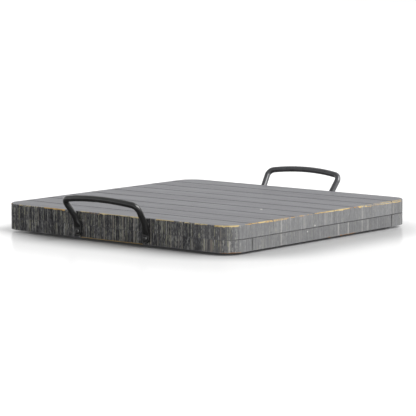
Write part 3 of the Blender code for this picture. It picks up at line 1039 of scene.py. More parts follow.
@dataclass(frozen=True)
class TrayPlan:
    """The tray's outline seen from above: a square with rounded corners."""

    half: float = 228.5 * MM
    corner: float = 31 * MM
    slack: float = 1.5 * MM
    facing: float = 0.7
    stretch_fade: float = 3 * MM
    plain_tint: float = 0.4
    listed_fade: float = 20 * MM
    score_fade: Pair = (0.25, 0.75)
    sideways: float = 0.999

    @property
    def inner(self) -> float:
        """Half a side of the square that joins the corners' centres."""
        return self.half - self.corner

    def beyond(self, points: Array) -> Array:
        """Measure, each way, how far points are out of the square of the corners' centres."""
        return np.sign(points) * np.maximum(np.abs(points) - self.inner, 0)

    def outer(self, points: Array, normals: Array) -> Array:
        """Say which points lie on the tray's outline and face outwards.

        They are a corner radius out of the inner square, with a normal that points the same way.

        Args:
            points: Points, of shape (columns, 2).
            normals: Their outward normals.

        Returns:
            Truths, one for each point.
        """
        beyond = self.beyond(points)
        away = np.hypot(beyond[:, 0], beyond[:, 1])
        facing = (beyond * normals).sum(axis=-1) > self.facing * away
        return facing & (away > self.corner - self.slack)

    def outward(self, points: Array) -> Array:
        """Give the direction out of the tray at points of its outline, square to the outline."""
        beyond = self.beyond(points)
        return beyond / np.maximum(np.linalg.norm(beyond, axis=-1, keepdims=True), TINY)

    def run(self, points: Array, normals: Array) -> Array:
        """Measure the distance round the tray.

        It starts at the back right corner and goes by way of the back, left, front and right. It
        is the distance round the square that joins the corners' centres, plus the corner radius
        times the angle that the normal has turned.

        Args:
            points: Points, of shape (columns, 2).
            normals: Their outward normals.

        Returns:
            The distance of each point.
        """
        inner = self.inner
        x, y = np.moveaxis(points - self.corner * normals, -1, 0)
        heading = np.arctan2(normals[:, 1], normals[:, 0])
        turned = np.mod(heading - math.pi / 4, 2 * math.pi)
        side = np.minimum((turned / (math.pi / 2)).astype(int), 3)
        along = np.choose(side, [inner - x, 3 * inner - y, 5 * inner + x, 7 * inner + y])
        return along + self.corner * turned

    def side_run(self, side: Side, along: float) -> float:
        """Measure the distance round the tray to a point of a side.

        Args:
            side: The side.
            along: The point's own coordinate along it, x or y.

        Returns:
            The distance.
        """
        towards = 1 if side in (Side.FRONT, Side.RIGHT) else -1
        arcs = self.corner * math.pi * (0.25 + 0.5 * side.value)
        return (2 * side.value + 1) * self.inner + towards * along + arcs

    def from_end(self, points: Array, normals: Array) -> Array:
        """Measure the distance along the outline from the nearer of the front and the back.

        Args:
            points: Points, of shape (columns, 2).
            normals: Their outward normals.

        Returns:
            The distance of each point, which is 0 on the front and the back.
        """
        turned = np.arctan2(np.abs(normals[:, 0]), np.abs(normals[:, 1]))
        on_side = np.abs(normals[:, 0]) > self.sideways
        return self.corner * turned + np.where(on_side, self.inner - np.abs(points[:, 1]), 0)

    def listed(self, run: Array) -> Array:
        """Tell the left side and the front, whose wear is listed, from the others.

        Args:
            run: Distance round the tray.

        Returns:
            1 on them and 0 elsewhere, with a fade at either end.
        """
        first, last = self.side_run(Side.LEFT, self.inner), self.side_run(Side.RIGHT, -self.inner)
        fade = self.listed_fade
        return step_between(run, first - fade, first) * (1 - step_between(run, last, last + fade))

    def score_marks(self, run: Array, on_planks: bool) -> tuple[Array, Array]:
        """Find the listed scores along the run.

        Each fades out on either side of its middle, between two shares of its width.

        Args:
            run: Distance round the tray.
            on_planks: Whether the planks' scores are wanted, or the rails'.

        Returns:
            Their strength and their tint.
        """
        strength, tint = np.zeros_like(run), np.zeros_like(run)
        for score in SCORES:
            on_layer = score.on_planks if on_planks else score.on_rails
            if not on_layer:
                continue
            away = np.abs(run - self.side_run(score.side, score.place))
            start, end = (score.width * share for share in self.score_fade)
            near = 1 - step_between(away, start, end)
            strength = np.maximum(strength, near * score.strength)
            tint = np.where(near > 0, score.tint, tint)
        return strength, tint

    def along_stretches(self, run: Array, stretches: tuple[WornStretch, ...]) -> Array:
        """Find the listed wear along the run.

        Args:
            run: Distance round the tray.
            stretches: The listed stretches, whose ends fade.

        Returns:
            Four rows: strength, tint, drop and split.
        """
        values = np.stack([0 * run, 0 * run + self.plain_tint, 0 * run, 0 * run])
        fade = self.stretch_fade
        for stretch in stretches:
            start, end = (
                self.side_run(stretch.side, place) for place in (stretch.start, stretch.end))
            inside = step_between(run, start - fade, start)
            inside = inside * (1 - step_between(run, end, end + fade))
            own = np.array([stretch.strength, stretch.tint, stretch.drop, stretch.split])
            values = values + (own[:, None] - values) * inside
        return values


@dataclass(frozen=True)
class BrokenEdge:
    """An edge of a board, all the way round.

    It has the chamfer's width on the flat face and its height on the upright one, how much painted
    shade darkens it, its bare wood with its tint, and the share by which it keeps paint midway.
    """

    width: Array
    height: Array
    dark: Array
    wear: Array
    tint: Array
    split: Array


@dataclass(frozen=True)
class Row:
    """A row of a board's surface: how far in, how high and how worn, and how level it faces."""

    inset: Array
    height: Array
    wear: Array
    flat: float


@dataclass
class Board:
    """A sawn board, as a closed surface of two parameters: round its outline, and up its profile.

    Its own values come first. What all boards share follows: how its rows lie, how saw marks and
    waves sink it, how its edges are broken, where they are worn, and how its paint varies.
    """

    node: str
    low: Array
    high: Array
    rounded_side: int
    is_plank: bool
    upper: BoardEdge
    lower: BoardEdge
    small_corner: float
    seed: int
    layer: float
    tone: float
    end_tone: float
    side_tone: float

    plan: TrayPlan = TrayPlan()
    spacing: float = 1.2 * MM
    guard: float = 0.15 * MM
    ledge: float = 0.75 * MM
    underside_shares: tuple[float, ...] = (1.0, 0.55, 0.2, 0.0)
    lower_shares: tuple[float, ...] = (0.0, 0.5, 1.0)
    side_rows: int = 13
    upper_shares: tuple[float, ...] = (0.0, 0.3, 0.65, 1.0)
    top_shares: tuple[float, ...] = (0.0, 0.06, 0.2, 0.4, 0.7, 1.0)
    lower_flat: float = 0.5
    upper_flat: Pair = (0.1, 0.3)
    wear_on_flat: float = 0.5
    wear_on_side: float = 0.6

    saw_depth: float = 0.35 * MM
    inside_saw: float = 0.35
    fine_saw: Patches = Patches(2.4 * MM, 26 * MM, 40, 0.6)
    coarse_saw: Patches = Patches(6.5 * MM, 60 * MM, 41, 0.4)
    cup: float = 0.25 * MM
    cup_waves: Patches = Patches(38 * MM, 120 * MM, 50)
    cup_start: float = 5 * MM

    lower_seed: int = 20
    fine_break: Ripple = Ripple(2.2 * MM, 0.5)
    coarse_break: Ripple = Ripple(3.1 * MM, 9.5, 1)
    broad_chips: Ripple = Ripple(11 * MM, 3.5, 2, 0.65)
    small_chips: Ripple = Ripple(4 * MM, 5.5, 3, 0.35)
    least_share: float = 0.05
    ease_width: float = 0.8
    least_chip: Pair = (0.3, 0.4)
    least_dark: float = 0.6

    wear_patterns: int = 7
    upper_wear_seed: int = 60
    lower_wear_seed: int = 80
    slow_wear: Ripple = Ripple(34 * MM, 7.5, 0, 0.6)
    quick_wear: Ripple = Ripple(9 * MM, 1.5, 1, 0.4)
    wear_steepness: float = 5.0
    random_wear: float = 0.9
    wood_tint: Ripple = Ripple(26 * MM, 4.5, 2)
    wear_specks: Ripple = Ripple(3.5 * MM, 2.5, 3)
    speck_strength: float = 0.5
    worn_from: float = 0.05
    jagged: Ripple = Ripple(4.5 * MM, 6.5, 4)
    least_drop: float = 0.35
    drop_width: float = 0.5

    score_specks: Patches = Patches(4 * MM, 5 * MM, 43)
    score_strength: Pair = (0.65, 0.5)
    front_fade: tuple[float, float, float] = (30 * MM, 130 * MM, 1.0)
    back_fade: tuple[float, float, float] = (5 * MM, 30 * MM, 0.2)
    # The share from the normal's turn paints shade round the corners.
    side_from_run: float = 0.54
    painted_shade_from_turn: float = 0.46
    turn_power: float = 0.3
    pale_band: tuple[float, float, float] = (25 * MM, 60 * MM, 170 * MM)
    pale: float = 0.34

    @property
    def reach(self) -> float:
        """Half the board's width, which is how far in its middle line lies."""
        return (self.high - self.low)[:2].min() / 2

    def outline(self) -> tuple[Array, Array]:
        """Walk round the board from above, counter-clockwise.

        Each corner is a quarter circle, and the straight runs between them are divided evenly,
        with no step over the spacing.

        Returns:
            Points and outward normals, each of shape (columns, 2).
        """
        left = self.plan.corner if self.rounded_side < 0 else self.small_corner
        right = self.plan.corner if self.rounded_side > 0 else self.small_corner
        corners = [
            (self.high[0] - right, self.low[1] + right, right, -0.5),
            (self.high[0] - right, self.high[1] - right, right, 0.0),
            (self.low[0] + left, self.high[1] - left, left, 0.5),
            (self.low[0] + left, self.low[1] + left, left, 1.0),
        ]
        arcs = []
        for x, y, radius, start in corners:
            count = max(4, math.ceil(radius * math.pi / 2 / self.spacing)) + 1
            angle = math.pi * (start + np.linspace(0, 0.5, count))
            normal = np.stack([np.cos(angle), np.sin(angle)], axis=-1)
            arcs.append((np.array([x, y]) + radius * normal, normal))
        points, normals = [], []
        for (arc, arc_normal), (following, _) in zip(arcs, arcs[1:] + arcs[:1]):
            count = math.ceil(np.linalg.norm(following[0] - arc[-1]) / self.spacing)
            share = np.arange(1, count)[:, None] / count
            points += [arc, arc[-1] * (1 - share) + following[0] * share]
            normals += [arc_normal, np.repeat(arc_normal[-1:], count - 1, axis=0)]
        return np.concatenate(points), np.concatenate(normals)

    def around(self) -> Around:
        """Set the outline against the tray's own.

        Returns:
            The outline, with the distance round the tray at each of its points.
        """
        points, normals = self.outline()
        return Around(
            points=points,
            normals=normals,
            run=self.plan.run(points, normals),
            ends=normals[:, 1] ** 2,
            outer=self.plan.outer(points, normals),
        )

    def core(self, points: Array) -> Array:
        """Find where on the board's middle line each outline point shrinks to.

        Args:
            points: Points of the outline.

        Returns:
            The nearest points of an even lattice along the middle line.
        """
        centre = (self.low[:2] + self.high[:2]) / 2
        half = (self.high[:2] - self.low[:2]) / 2
        middle_line = half - half.min()
        nearest = np.clip(points - centre, -middle_line, middle_line)
        return centre + np.round(nearest / self.spacing) * self.spacing

    def edge_sizes(self, around: Around, edge: BoardEdge, seed: int) -> tuple[Array, Array, Array]:
        """Work out how an edge is broken all the way round.

        The size is a regular chamfer, plus fine noise, plus chips where slower noise passes a
        threshold.

        Args:
            around: The board's outline.
            edge: The edge's breaks.
            seed: Which of the patterns is wanted.

        Returns:
            The chamfer's width on the flat face, its height on the upright one, and how much
            painted shade darkens it.
        """
        measures = ("ease", "ragged", "chip", "chipped_share", "dark")
        ease, ragged, chip, chipped, dark = (edge.measure(name, around) for name in measures)
        run = around.run
        fine, coarse = self.fine_break.along(run, seed), self.coarse_break.along(run, seed)
        patch = self.broad_chips.along(run, seed) + self.small_chips.along(run, seed)
        past = step_between(patch, 0, 1) - (1 - chipped)
        chips = np.clip(past / np.maximum(chipped, self.least_share), 0, 1) * chip
        least_width, least_height = self.least_chip
        width = ease * self.ease_width + ragged * fine + chips * at_least(least_width, coarse)
        height = ease + ragged * coarse + chips * at_least(least_height, fine)
        return width, height, dark * at_least(self.least_dark, fine)

    def edge_wear(self, around: Around, edge: BoardEdge,
                  seed: int) -> tuple[Array, Array, Array, Array]:
        """Work out where an edge is bare wood.

        The listed stretches are on the left side and the front. The other sides are worn where
        slow noise falls under a share.

        Args:
            around: The board's outline.
            edge: The edge's stretches and shares.
            seed: Which of the patterns is wanted.

        Returns:
            The wear, the tint, and how far the edge is broken away and keeps paint midway.
        """
        run = around.run
        if not edge.stretches:
            return tuple(np.zeros((4, len(run))))
        wear, tint, drop, split = self.plan.along_stretches(run, edge.stretches)
        listed = self.plan.listed(run)
        slow = self.slow_wear.along(run, seed) + self.quick_wear.along(run, seed)
        share = edge.random_share + edge.more_at_ends * around.ends
        chance = np.clip((share - slow) * self.wear_steepness + 0.5, 0, 1)
        wear = wear * listed + chance * self.random_wear * (1 - listed)
        tint = tint * listed + self.wood_tint.along(run, seed) * (1 - listed)
        specks = (self.wear_specks.along(run, seed) - 0.5) * self.speck_strength
        wear = wear + specks * (wear > self.worn_from)
        jagged = at_least(self.least_drop, self.jagged.along(run, seed))
        return wear * around.outer, tint, drop * jagged * around.outer, split

    def broken_edge(self, around: Around, edge: BoardEdge, seed: int,
                    wear_seed: int) -> BrokenEdge:
        """Put an edge's breaks and its wear together.

        Args:
            around: The board's outline.
            edge: The edge.
            seed: Which of the breaks' patterns is wanted.
            wear_seed: Which of the wear's.

        Returns:
            The edge all the way round.
        """
        width, height, dark = self.edge_sizes(around, edge, seed)
        wear, tint, drop, split = self.edge_wear(around, edge, wear_seed)
        width = width + drop * self.drop_width
        return BrokenEdge(width, height + drop, dark, wear, tint, split)

    def inward(self, width: Array, share: float) -> Array:
        """Go a share of the way from beside an edge's chamfer to the board's middle line."""
        return width + self.ledge + (self.reach - width - self.ledge) * share

    def rows(self, upper: BrokenEdge, lower: BrokenEdge) -> list[Row]:
        """List the rows of the board's surface.

        Args:
            upper: The upper edge.
            lower: The lower edge.

        Returns:
            The rows, from the middle of the underside, round the lower edge, up the side, over
            the upper edge and to the middle of the top.
        """
        ones = np.ones_like(lower.width)
        bottom, top = self.low[2] * ones, self.high[2] * ones
        low_side = bottom + lower.height + self.guard
        high_side = top - upper.height - self.guard
        rows = [
            Row(self.inward(lower.width, share), bottom, 0 * ones, 1.0)
            for share in self.underside_shares
        ]
        rows.append(Row(lower.width + self.guard, bottom, lower.wear * self.wear_on_flat, 1.0))
        for share in self.lower_shares:
            inset, height = lower.width * (1 - share), bottom + lower.height * share
            rows.append(Row(inset, height, lower.wear, self.lower_flat))
        for share in np.linspace(0, 1, self.side_rows):
            near = lower.wear * (share == 0) + upper.wear * (share == 1)
            height = low_side + (high_side - low_side) * share
            rows.append(Row(0 * ones, height, near * self.wear_on_side, 0.0))
        for share in self.upper_shares:
            inset, height = upper.width * share, top - upper.height * (1 - share)
            bare = upper.wear * (1 - upper.split * (0 < share < 1))
            flat = self.upper_flat[0] + self.upper_flat[1] * share
            rows.append(Row(inset, height, bare, flat))
        rows.append(Row(upper.width + self.guard, top, upper.wear * self.wear_on_flat, 1.0))
        rows += [
            Row(self.inward(upper.width, share), top, 0 * ones, 1.0) for share in self.top_shares
        ]
        return rows

    def sunk(self, around: Around, inset: Array, height: Array, flat: Array) -> Array:
        """Draw the outline in at each row, and sink saw marks and slow waves into the faces.

        A point goes from the outline to the middle line by the inset's share of the way. Saw
        marks sink the upright faces, and the waves sink the flat ones, always inwards.

        Args:
            around: The board's outline.
            inset: How far in each point lies.
            height: How high it lies.
            flat: How level its face is.

        Returns:
            Points, of shape (rows, columns, 3).
        """
        share = np.clip(inset / self.reach, 0, 1)[..., None]
        place = around.points * (1 - share) + self.core(around.points) * share
        saw = self.fine_saw.over(around.run, height) + self.coarse_saw.over(around.run, height)
        depth = self.saw_depth * saw * (1 - flat) * np.where(around.outer, 1.0, self.inside_saw)
        outward = self.plan.outward(around.points)
        place = place - depth[..., None] * np.where(around.outer[:, None], outward, around.normals)
        wave = self.cup_waves.over(place[..., 0], place[..., 1], self.seed)
        wave = wave * step_between(inset, 0, self.cup_start) * (flat == 1) * self.cup
        sunk = height + np.where(self.is_upper(height), -wave, wave)
        return np.concatenate([place, sunk[..., None]], axis=-1)

    def is_upper(self, height: Array) -> Array:
        """Tell the points of the board's upper half from those of its lower half."""
        return height > (self.low[2] + self.high[2]) / 2

    def shades(self, around: Around, flat: Array) -> tuple[Array, Array]:
        """Work out how the paint passes from a board's ends to its sides, partly as painted shade.

        The share of the sides' darker paint rises along the outline from the end, and with the
        turn of the normal; the rise with the turn is painted shade. A band near the end is paler.
        At the back the rise is quicker and the band weaker.

        Args:
            around: The board's outline.
            flat: How level each point's face is.

        Returns:
            The share of the side's paint, and the tone that its colour is multiplied by.
        """
        in_front = around.points[:, 1] < 0
        start, length, share = (
            np.where(in_front, *pair) for pair in zip(self.front_fade, self.back_fade))
        away = self.plan.from_end(around.points, around.normals)
        side = self.side_from_run * step_between(away, start, start + length)
        side = side + self.painted_shade_from_turn * (1 - around.ends) ** self.turn_power
        first, middle, last = self.pale_band
        band = step_between(away, first, middle) * (1 - step_between(away, middle, last))
        tone = self.end_tone + (self.side_tone - self.end_tone) * side
        tone = tone * (1 + self.pale * band * share)
        return side + 0 * flat, np.where(flat > 0.5, self.tone, tone)

    def marks(self, around: Around, height: Array, flat: Array,
              dark: Array) -> tuple[Array, Array]:
        """Work out the scores of the upright faces and the painted shade of the broken edges.

        Args:
            around: The board's outline.
            height: How high each point lies.
            flat: How level its face is, where a broken edge has a share between 0 and 1.
            dark: How much painted shade the edge nearest to it has.

        Returns:
            The strength of the marks, and their tint.
        """
        strength, tint = self.plan.score_marks(around.run, self.is_plank)
        least, more = self.score_strength
        worn = least + more * self.score_specks.over(around.run, height)
        strength = strength * around.outer * (flat == 0) * worn
        broken = (flat > 0) & (flat < 1)
        return np.where(broken, dark, strength), np.where(broken, -1.0, tint)

    def build(self) -> bpy.types.Object:
        """Make the board's surface.

        Each row of its grid is the outline, drawn in towards the middle line and set at a
        height.

        Returns:
            The closed mesh, with its face, board and edge values stored at its points.
        """
        around = self.around()
        pattern = self.seed % self.wear_patterns
        upper = self.broken_edge(around, self.upper, self.seed, pattern + self.upper_wear_seed)
        lower = self.broken_edge(
            around, self.lower, self.seed + self.lower_seed, pattern + self.lower_wear_seed)
        rows = self.rows(upper, lower)
        inset, height, wear = (
            np.stack([getattr(row, name) for row in rows]) for name in ("inset", "height", "wear"))
        flat = np.array([row.flat for row in rows])[:, None] + 0 * height
        is_upper = self.is_upper(height)
        side, tone = self.shades(around, flat)
        dark = np.where(is_upper, upper.dark, lower.dark)
        strength, score_tint = self.marks(around, height, flat, dark)
        tint = np.where(is_upper, upper.tint, lower.tint)

        piece = grid_mesh(self.node + "_board", self.sunk(around, inset, height, flat))
        write_attribute(piece, "face", around.run + 0 * flat, side, flat)
        write_attribute(piece, "board", tone, self.layer + 0 * flat, strength)
        write_attribute(piece, "edge", wear, tint, score_tint)
        close_mesh(piece)
        return piece


@dataclass(frozen=True)
class BoardPlace:
    """A board's place in the tray.

    Its number picks its pattern and its tone. A rounded side of -1 or 1 has the tray's corners.
    """

    node: str
    number: int
    rounded_side: int
    end_tone: float
    is_plank: bool = False
    grain: Grain = Grain.ALONG_Y


@dataclass
class Woodwork:
    """The planks of the top and the frame under them."""

    seed: int = 11
    seed_step: int = 100
    layer_step: float = 1.7
    tone_row: int = 3
    tone_spread: float = 0.10
    closing: float = 0.14 * MM
    seam_closing: float = 0.05 * MM
    plank_end_tones: tuple[float, ...] = (1.01, 1.06, 1.11, 1.14, 1.11, 1.06, 1.14, 1.21, 1.03)
    plank_side_tone: float = 1.14
    rail_side_tone: float = 1.25
    plank_corner: float = 0.06 * MM
    rail_corner: float = 0.6 * MM
    rails: tuple[BoardPlace, ...] = (
        BoardPlace("side_rail_left", 20, -1, 0.96),
        BoardPlace("side_rail_right", 21, 1, 1.10),
        BoardPlace("end_rail_front", 30, 0, 0.95, grain=Grain.ALONG_X),
        BoardPlace("end_rail_back", 31, 0, 0.95, grain=Grain.ALONG_X),
    )

    def planks(self) -> list[BoardPlace]:
        """List the planks from left to right, of which the outer two have the tray's corners.

        Returns:
            Their places.
        """
        last = len(self.plank_end_tones)
        rounded = {1: -1, last: 1}
        return [
            BoardPlace(f"plank_{number}", number, rounded.get(number, 0), tone, is_plank=True)
            for number, tone in enumerate(self.plank_end_tones, 1)
        ]

    def board(self, place: BoardPlace) -> Board:
        """Describe one board from its CAD node's box and its place in the tray.

        Planks come a little closer to each other and to the rails than in the box, so that
        nothing is seen through the joints.

        Args:
            place: Its place.

        Returns:
            The board.
        """
        node = place.node
        low, high = (np.array(corner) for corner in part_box(node))
        if place.is_plank:
            low[0] -= self.closing * (place.rounded_side >= 0)
            high[0] += self.closing * (place.rounded_side <= 0)
            low[2] -= self.seam_closing
        cell = np.array([place.number]), np.array([self.tone_row])
        chance = float(hashed(*cell, self.seed)[0])
        return Board(
            node=node,
            low=low,
            high=high,
            rounded_side=place.rounded_side,
            is_plank=place.is_plank,
            upper=PLANK_TOP if place.is_plank else SEAM,
            lower=SEAM if place.is_plank else RAIL_BOTTOM,
            small_corner=self.plank_corner if place.is_plank else self.rail_corner,
            seed=self.seed + self.seed_step * place.number,
            layer=self.layer_step * place.number,
            tone=1 + self.tone_spread * (chance - 0.5),
            end_tone=place.end_tone,
            side_tone=self.plank_side_tone if place.is_plank else self.rail_side_tone,
        )

    def dress(self) -> None:
        """Build every board and give it its paint."""
        effects = PaintEffects(
            SawMarks().build(), WoodGrain().build(), EdgeWear().build(), KnockedSpot().build())
        paints = {
            grain: BoardPaint().build(f"grey_paint_{grain.value}", grain, effects)
            for grain in Grain
        }
        for place in (*self.planks(), *self.rails):
            place_piece(self.board(place).build(), place.node, paints[place.grain])


# Ironwork

@dataclass
class RodHandle:
    """A bent rod handle: two flattened feet, legs that lean outwards and an arched grip."""

    node: str
    side: int
    shift: float
    grip_rise: float
    plan: TrayPlan = TrayPlan()
    gap: float = 0.3 * MM
    top: float = 44.5 * MM
    screw_height: float = 13.5 * MM
    foot_spacing: float = 136 * MM
    shoulder_spacing: float = 147 * MM
    rod: float = 4.75 * MM
    reach: float = 23.3 * MM
    arch: float = 5.5 * MM
    arch_lean: float = math.radians(46)
    lean_start: float = 10.5 * MM
    lean_radius: float = 22 * MM
    corner_radius: float = 11 * MM
    paddle: float = 6.8 * MM
    paddle_thickness: float = 4 * MM
    paddle_top: float = 6 * MM
    paddle_blend: float = 12 * MM
    squareness: float = 2.5
    turn_length: float = 20 * MM
    least_across: float = 0.05
    toe_start: float = 0.03
    toe_points: int = 12
    leg_points: int = 16
    lean_points: int = 14
    shoulder_points: int = 18
    grip_points: int = 26
    columns: int = 36
    sharp_degrees: float = 50

    @property
    def flat_top(self) -> float:
        """Height up to which the foot is flat bar."""
        return self.screw_height + self.paddle_top

    @property
    def grip_height(self) -> float:
        """Height of the shoulders, from which the grip arches."""
        return self.top + self.grip_rise

    def rounded(self, before: Array, corner: Array, after: Array, radius: float,
                count: int) -> Array:
        """Round a path's corner by an arc that is tangent to both runs.

        The arc's points are the two radii to its ends, weighted by the sines of the angles that
        are left on either side.

        Args:
            before: A point of the run before the corner.
            corner: The corner.
            after: A point of the run after it.
            radius: The arc's radius.
            count: How many points it has.

        Returns:
            The arc's points.
        """
        back, ahead = (
            (point - corner) / np.linalg.norm(point - corner) for point in (before, after))
        half_angle = math.acos(float(back @ ahead)) / 2
        middle = (back + ahead) / np.linalg.norm(back + ahead)
        centre = corner + middle * radius / math.sin(half_angle)
        start, end = (
            corner + way * radius / math.tan(half_angle) - centre for way in (back, ahead))
        sweep = math.pi - 2 * half_angle
        share = np.linspace(0, 1, count)[:, None]
        radii = start * np.sin((1 - share) * sweep) + end * np.sin(share * sweep)
        return centre + radii / math.sin(sweep)

    def section(self, height: Array) -> tuple[Array, Array, Array]:
        """Find the section at a height, which is flat bar below and round rod above.

        Args:
            height: Heights along the path.

        Returns:
            Half the width, half the thickness and the squareness, whose 2 is an ellipse.
        """
        share = step_between(height, self.flat_top, self.flat_top + self.paddle_blend)
        width = self.paddle + (self.rod - self.paddle) * share
        thickness = self.paddle_thickness / 2 + (self.rod - self.paddle_thickness / 2) * share
        below = np.clip(self.screw_height - height, 0, self.paddle)
        width = np.where(below > 0, np.sqrt(self.paddle**2 - below**2), width)
        return width, thickness, 2 + self.squareness * (1 - share)

    def grip(self, y: Array) -> Array:
        """Draw the grip's centre line, a parabola over y that leans outwards as it rises.

        Args:
            y: Distances along the side from the grip's middle.

        Returns:
            Points of (distance out of the side, y, z).
        """
        rise = self.arch * (1 - (y / (self.shoulder_spacing / 2)) ** 2)
        out = self.reach + rise * math.tan(self.arch_lean)
        return np.stack([out, y, self.grip_height + rise], axis=-1)

    def path(self) -> Array:
        """Draw the centre line from foot to foot.

        A half is a straight foot, an arc that starts the lean, a straight leg, the shoulder's arc
        and half a parabola for the grip. The other half is its mirror image.

        Returns:
            Points of (distance out of the side, y, z).
        """
        foot_y, grip_y = self.foot_spacing / 2, self.shoulder_spacing / 2
        bend_z = self.top - self.lean_start
        splay = (grip_y - foot_y) / (self.grip_height - self.flat_top)
        turn = np.linspace(self.toe_start, math.pi / 2, self.toe_points)
        toe = self.screw_height - self.paddle * np.cos(turn)
        foot = np.stack([0 * toe, 0 * toe + foot_y, toe], axis=-1)
        flat_end = np.array([0, foot_y, self.flat_top])
        bend = np.array([0, foot_y + splay * (bend_z - self.flat_top), bend_z])
        shoulder = np.array([self.reach, grip_y, self.grip_height])
        grip_start = grip_y - 2 * self.corner_radius
        grip = self.grip(grip_start * np.linspace(1, 0, self.grip_points))

        lean_arc = self.rounded(flat_end, bend, shoulder, self.lean_radius, self.lean_points)
        shoulder_arc = self.rounded(
            bend, shoulder, grip[0], self.corner_radius, self.shoulder_points)
        share = np.linspace(0, 1, self.leg_points)[:, None]
        leg = foot[-1] * (1 - share) + lean_arc[0] * share
        leg[:, 1] = foot_y + splay * np.maximum(leg[:, 2] - self.flat_top, 0)
        up = lean_arc[-1] * (1 - share) + shoulder_arc[0] * share
        half = np.concatenate([foot, leg[1:], lean_arc[1:], up[1:], shoulder_arc[1:], grip])
        whole = np.concatenate([half, half[-2::-1] * np.array([1, -1, 1])])
        whole[:, 0] += self.gap + self.section(whole[:, 2])[1]
        return whole

    def build(self) -> bpy.types.Object:
        """Carry the section along the path.

        A section's point is the centre, plus the path's side direction times the half width
        times a power of the angle's cosine, plus the path's outward direction times the half
        thickness times the same power of its sine. The power squares the feet.

        Returns:
            The closed mesh.
        """
        path = self.path()
        none = 0 * path[:, 0]
        ahead = np.gradient(path, axis=0)
        ahead /= np.linalg.norm(ahead, axis=1)[:, None]
        towards_middle = np.stack([none, -np.tanh(path[:, 1] / self.turn_length), none], axis=-1)
        across = np.cross(np.array([1.0, 0, 0]), ahead)
        steady = np.linalg.norm(across, axis=1)[:, None] > self.least_across
        across = np.where(steady, across, towards_middle)
        across /= np.linalg.norm(across, axis=1)[:, None]
        outward = np.cross(ahead, across)
        width, thickness, square = self.section(path[:, 2])
        angle = np.linspace(0, 2 * math.pi, self.columns, endpoint=False)
        power = (2 / square)[:, None]
        wide, thick = (
            np.sign(wave) * np.abs(wave) ** power * half[:, None]
            for wave, half in ((np.cos(angle), width), (np.sin(angle), thickness))
        )
        grid = path[:, None] + across[:, None] * wide[..., None]
        grid = grid + outward[:, None] * thick[..., None]
        first, last = (
            np.repeat(ring.mean(axis=0)[None, None], self.columns, axis=1)
            for ring in (grid[0], grid[-1])
        )
        grid = np.concatenate([first, grid, last])
        grid[..., 0] = self.side * (self.plan.half + grid[..., 0])
        grid[..., 1] += self.shift
        piece = grid_mesh(self.node + "_rod", grid)
        close_mesh(piece, self.sharp_degrees)
        return piece

    def screw_places(self) -> list[tuple[str, Array]]:
        """Find where the screws go.

        Returns:
            Each screw's node, and the point where its head meets the foot.
        """
        out = self.side * (self.plan.half + self.paddle_thickness + 2 * self.gap)
        places = []
        for end, name in ((-1, "front"), (1, "back")):
            y = self.shift + end * self.foot_spacing / 2
            places.append((f"{self.node}_screw_{name}", np.array([out, y, self.screw_height])))
        return places


@dataclass
class CrossScrew:
    """A screw with a cross recess: a turned profile whose head is sunk along two bars."""

    node: str
    seat: Array
    axis: Array
    profile: tuple[tuple[float, float], ...]
    turn: float = 0.4
    recess_width: float = 1.1 * MM
    recess_reach: float = 2.1 * MM
    recess_depth: float = 1.2 * MM
    recess_wall: Pair = (0.35, 0.6)
    recess_end: float = 0.8
    recess_taper: float = 0.5
    head_from: float = 0.3 * MM
    head_points: int = 14
    shank_points: int = 4
    columns: int = 48
    sharp_degrees: float = 40

    def divided(self) -> Array:
        """Divide the profile's straight runs evenly, and those of the head more finely.

        Returns:
            Points of (radius, height).
        """
        corners = np.array(self.profile)
        runs = []
        for start, end in zip(corners, corners[1:]):
            on_head = min(start[1], end[1]) > self.head_from
            count = self.head_points if on_head else self.shank_points
            runs.append(np.linspace(start, end, count)[:-1])
        return np.concatenate(runs + [corners[-1:]])

    def recess(self, first: Array, second: Array) -> Array:
        """Work out how deep the recess is at places on the head.

        It sinks where the distance from either bar's middle line is under a share of the width.
        Its walls slope, it ends at the reach, and it is shallower away from the middle.

        Args:
            first: Distance from the axis along one bar.
            second: The same along the other.

        Returns:
            The depth at each place.
        """
        radius = np.hypot(first, second)
        bar = np.minimum(np.abs(first), np.abs(second))
        start, end = (self.recess_width * share for share in self.recess_wall)
        reach = self.recess_reach
        inside = 1 - step_between(bar, start, end)
        inside = inside * (1 - step_between(radius, reach * self.recess_end, reach))
        return self.recess_depth * inside * (1 - self.recess_taper * np.clip(radius / reach, 0, 1))

    def build(self) -> bpy.types.Object:
        """Turn the profile about the axis, and sink the recess into the head.

        Returns:
            The closed mesh.
        """
        profile = self.divided()
        angle = np.linspace(0, 2 * math.pi, self.columns, endpoint=False) + self.turn
        radius, height = profile[:, 0][:, None], profile[:, 1][:, None]
        first, second = radius * np.cos(angle), radius * np.sin(angle)
        on_head = height > height.max() * 0.5
        height = height - self.recess(first, second) * on_head
        axis = self.axis / np.linalg.norm(self.axis)
        helper = np.array([0.0, 0, 1]) if abs(axis[2]) < 0.9 else np.array([1.0, 0, 0])
        right = np.cross(helper, axis)
        right /= np.linalg.norm(right)
        up = np.cross(axis, right)
        grid = self.seat + first[..., None] * right + second[..., None] * up
        grid = grid + height[..., None] * axis
        piece = grid_mesh(self.node + "_turned", grid)
        close_mesh(piece, self.sharp_degrees)
        return piece


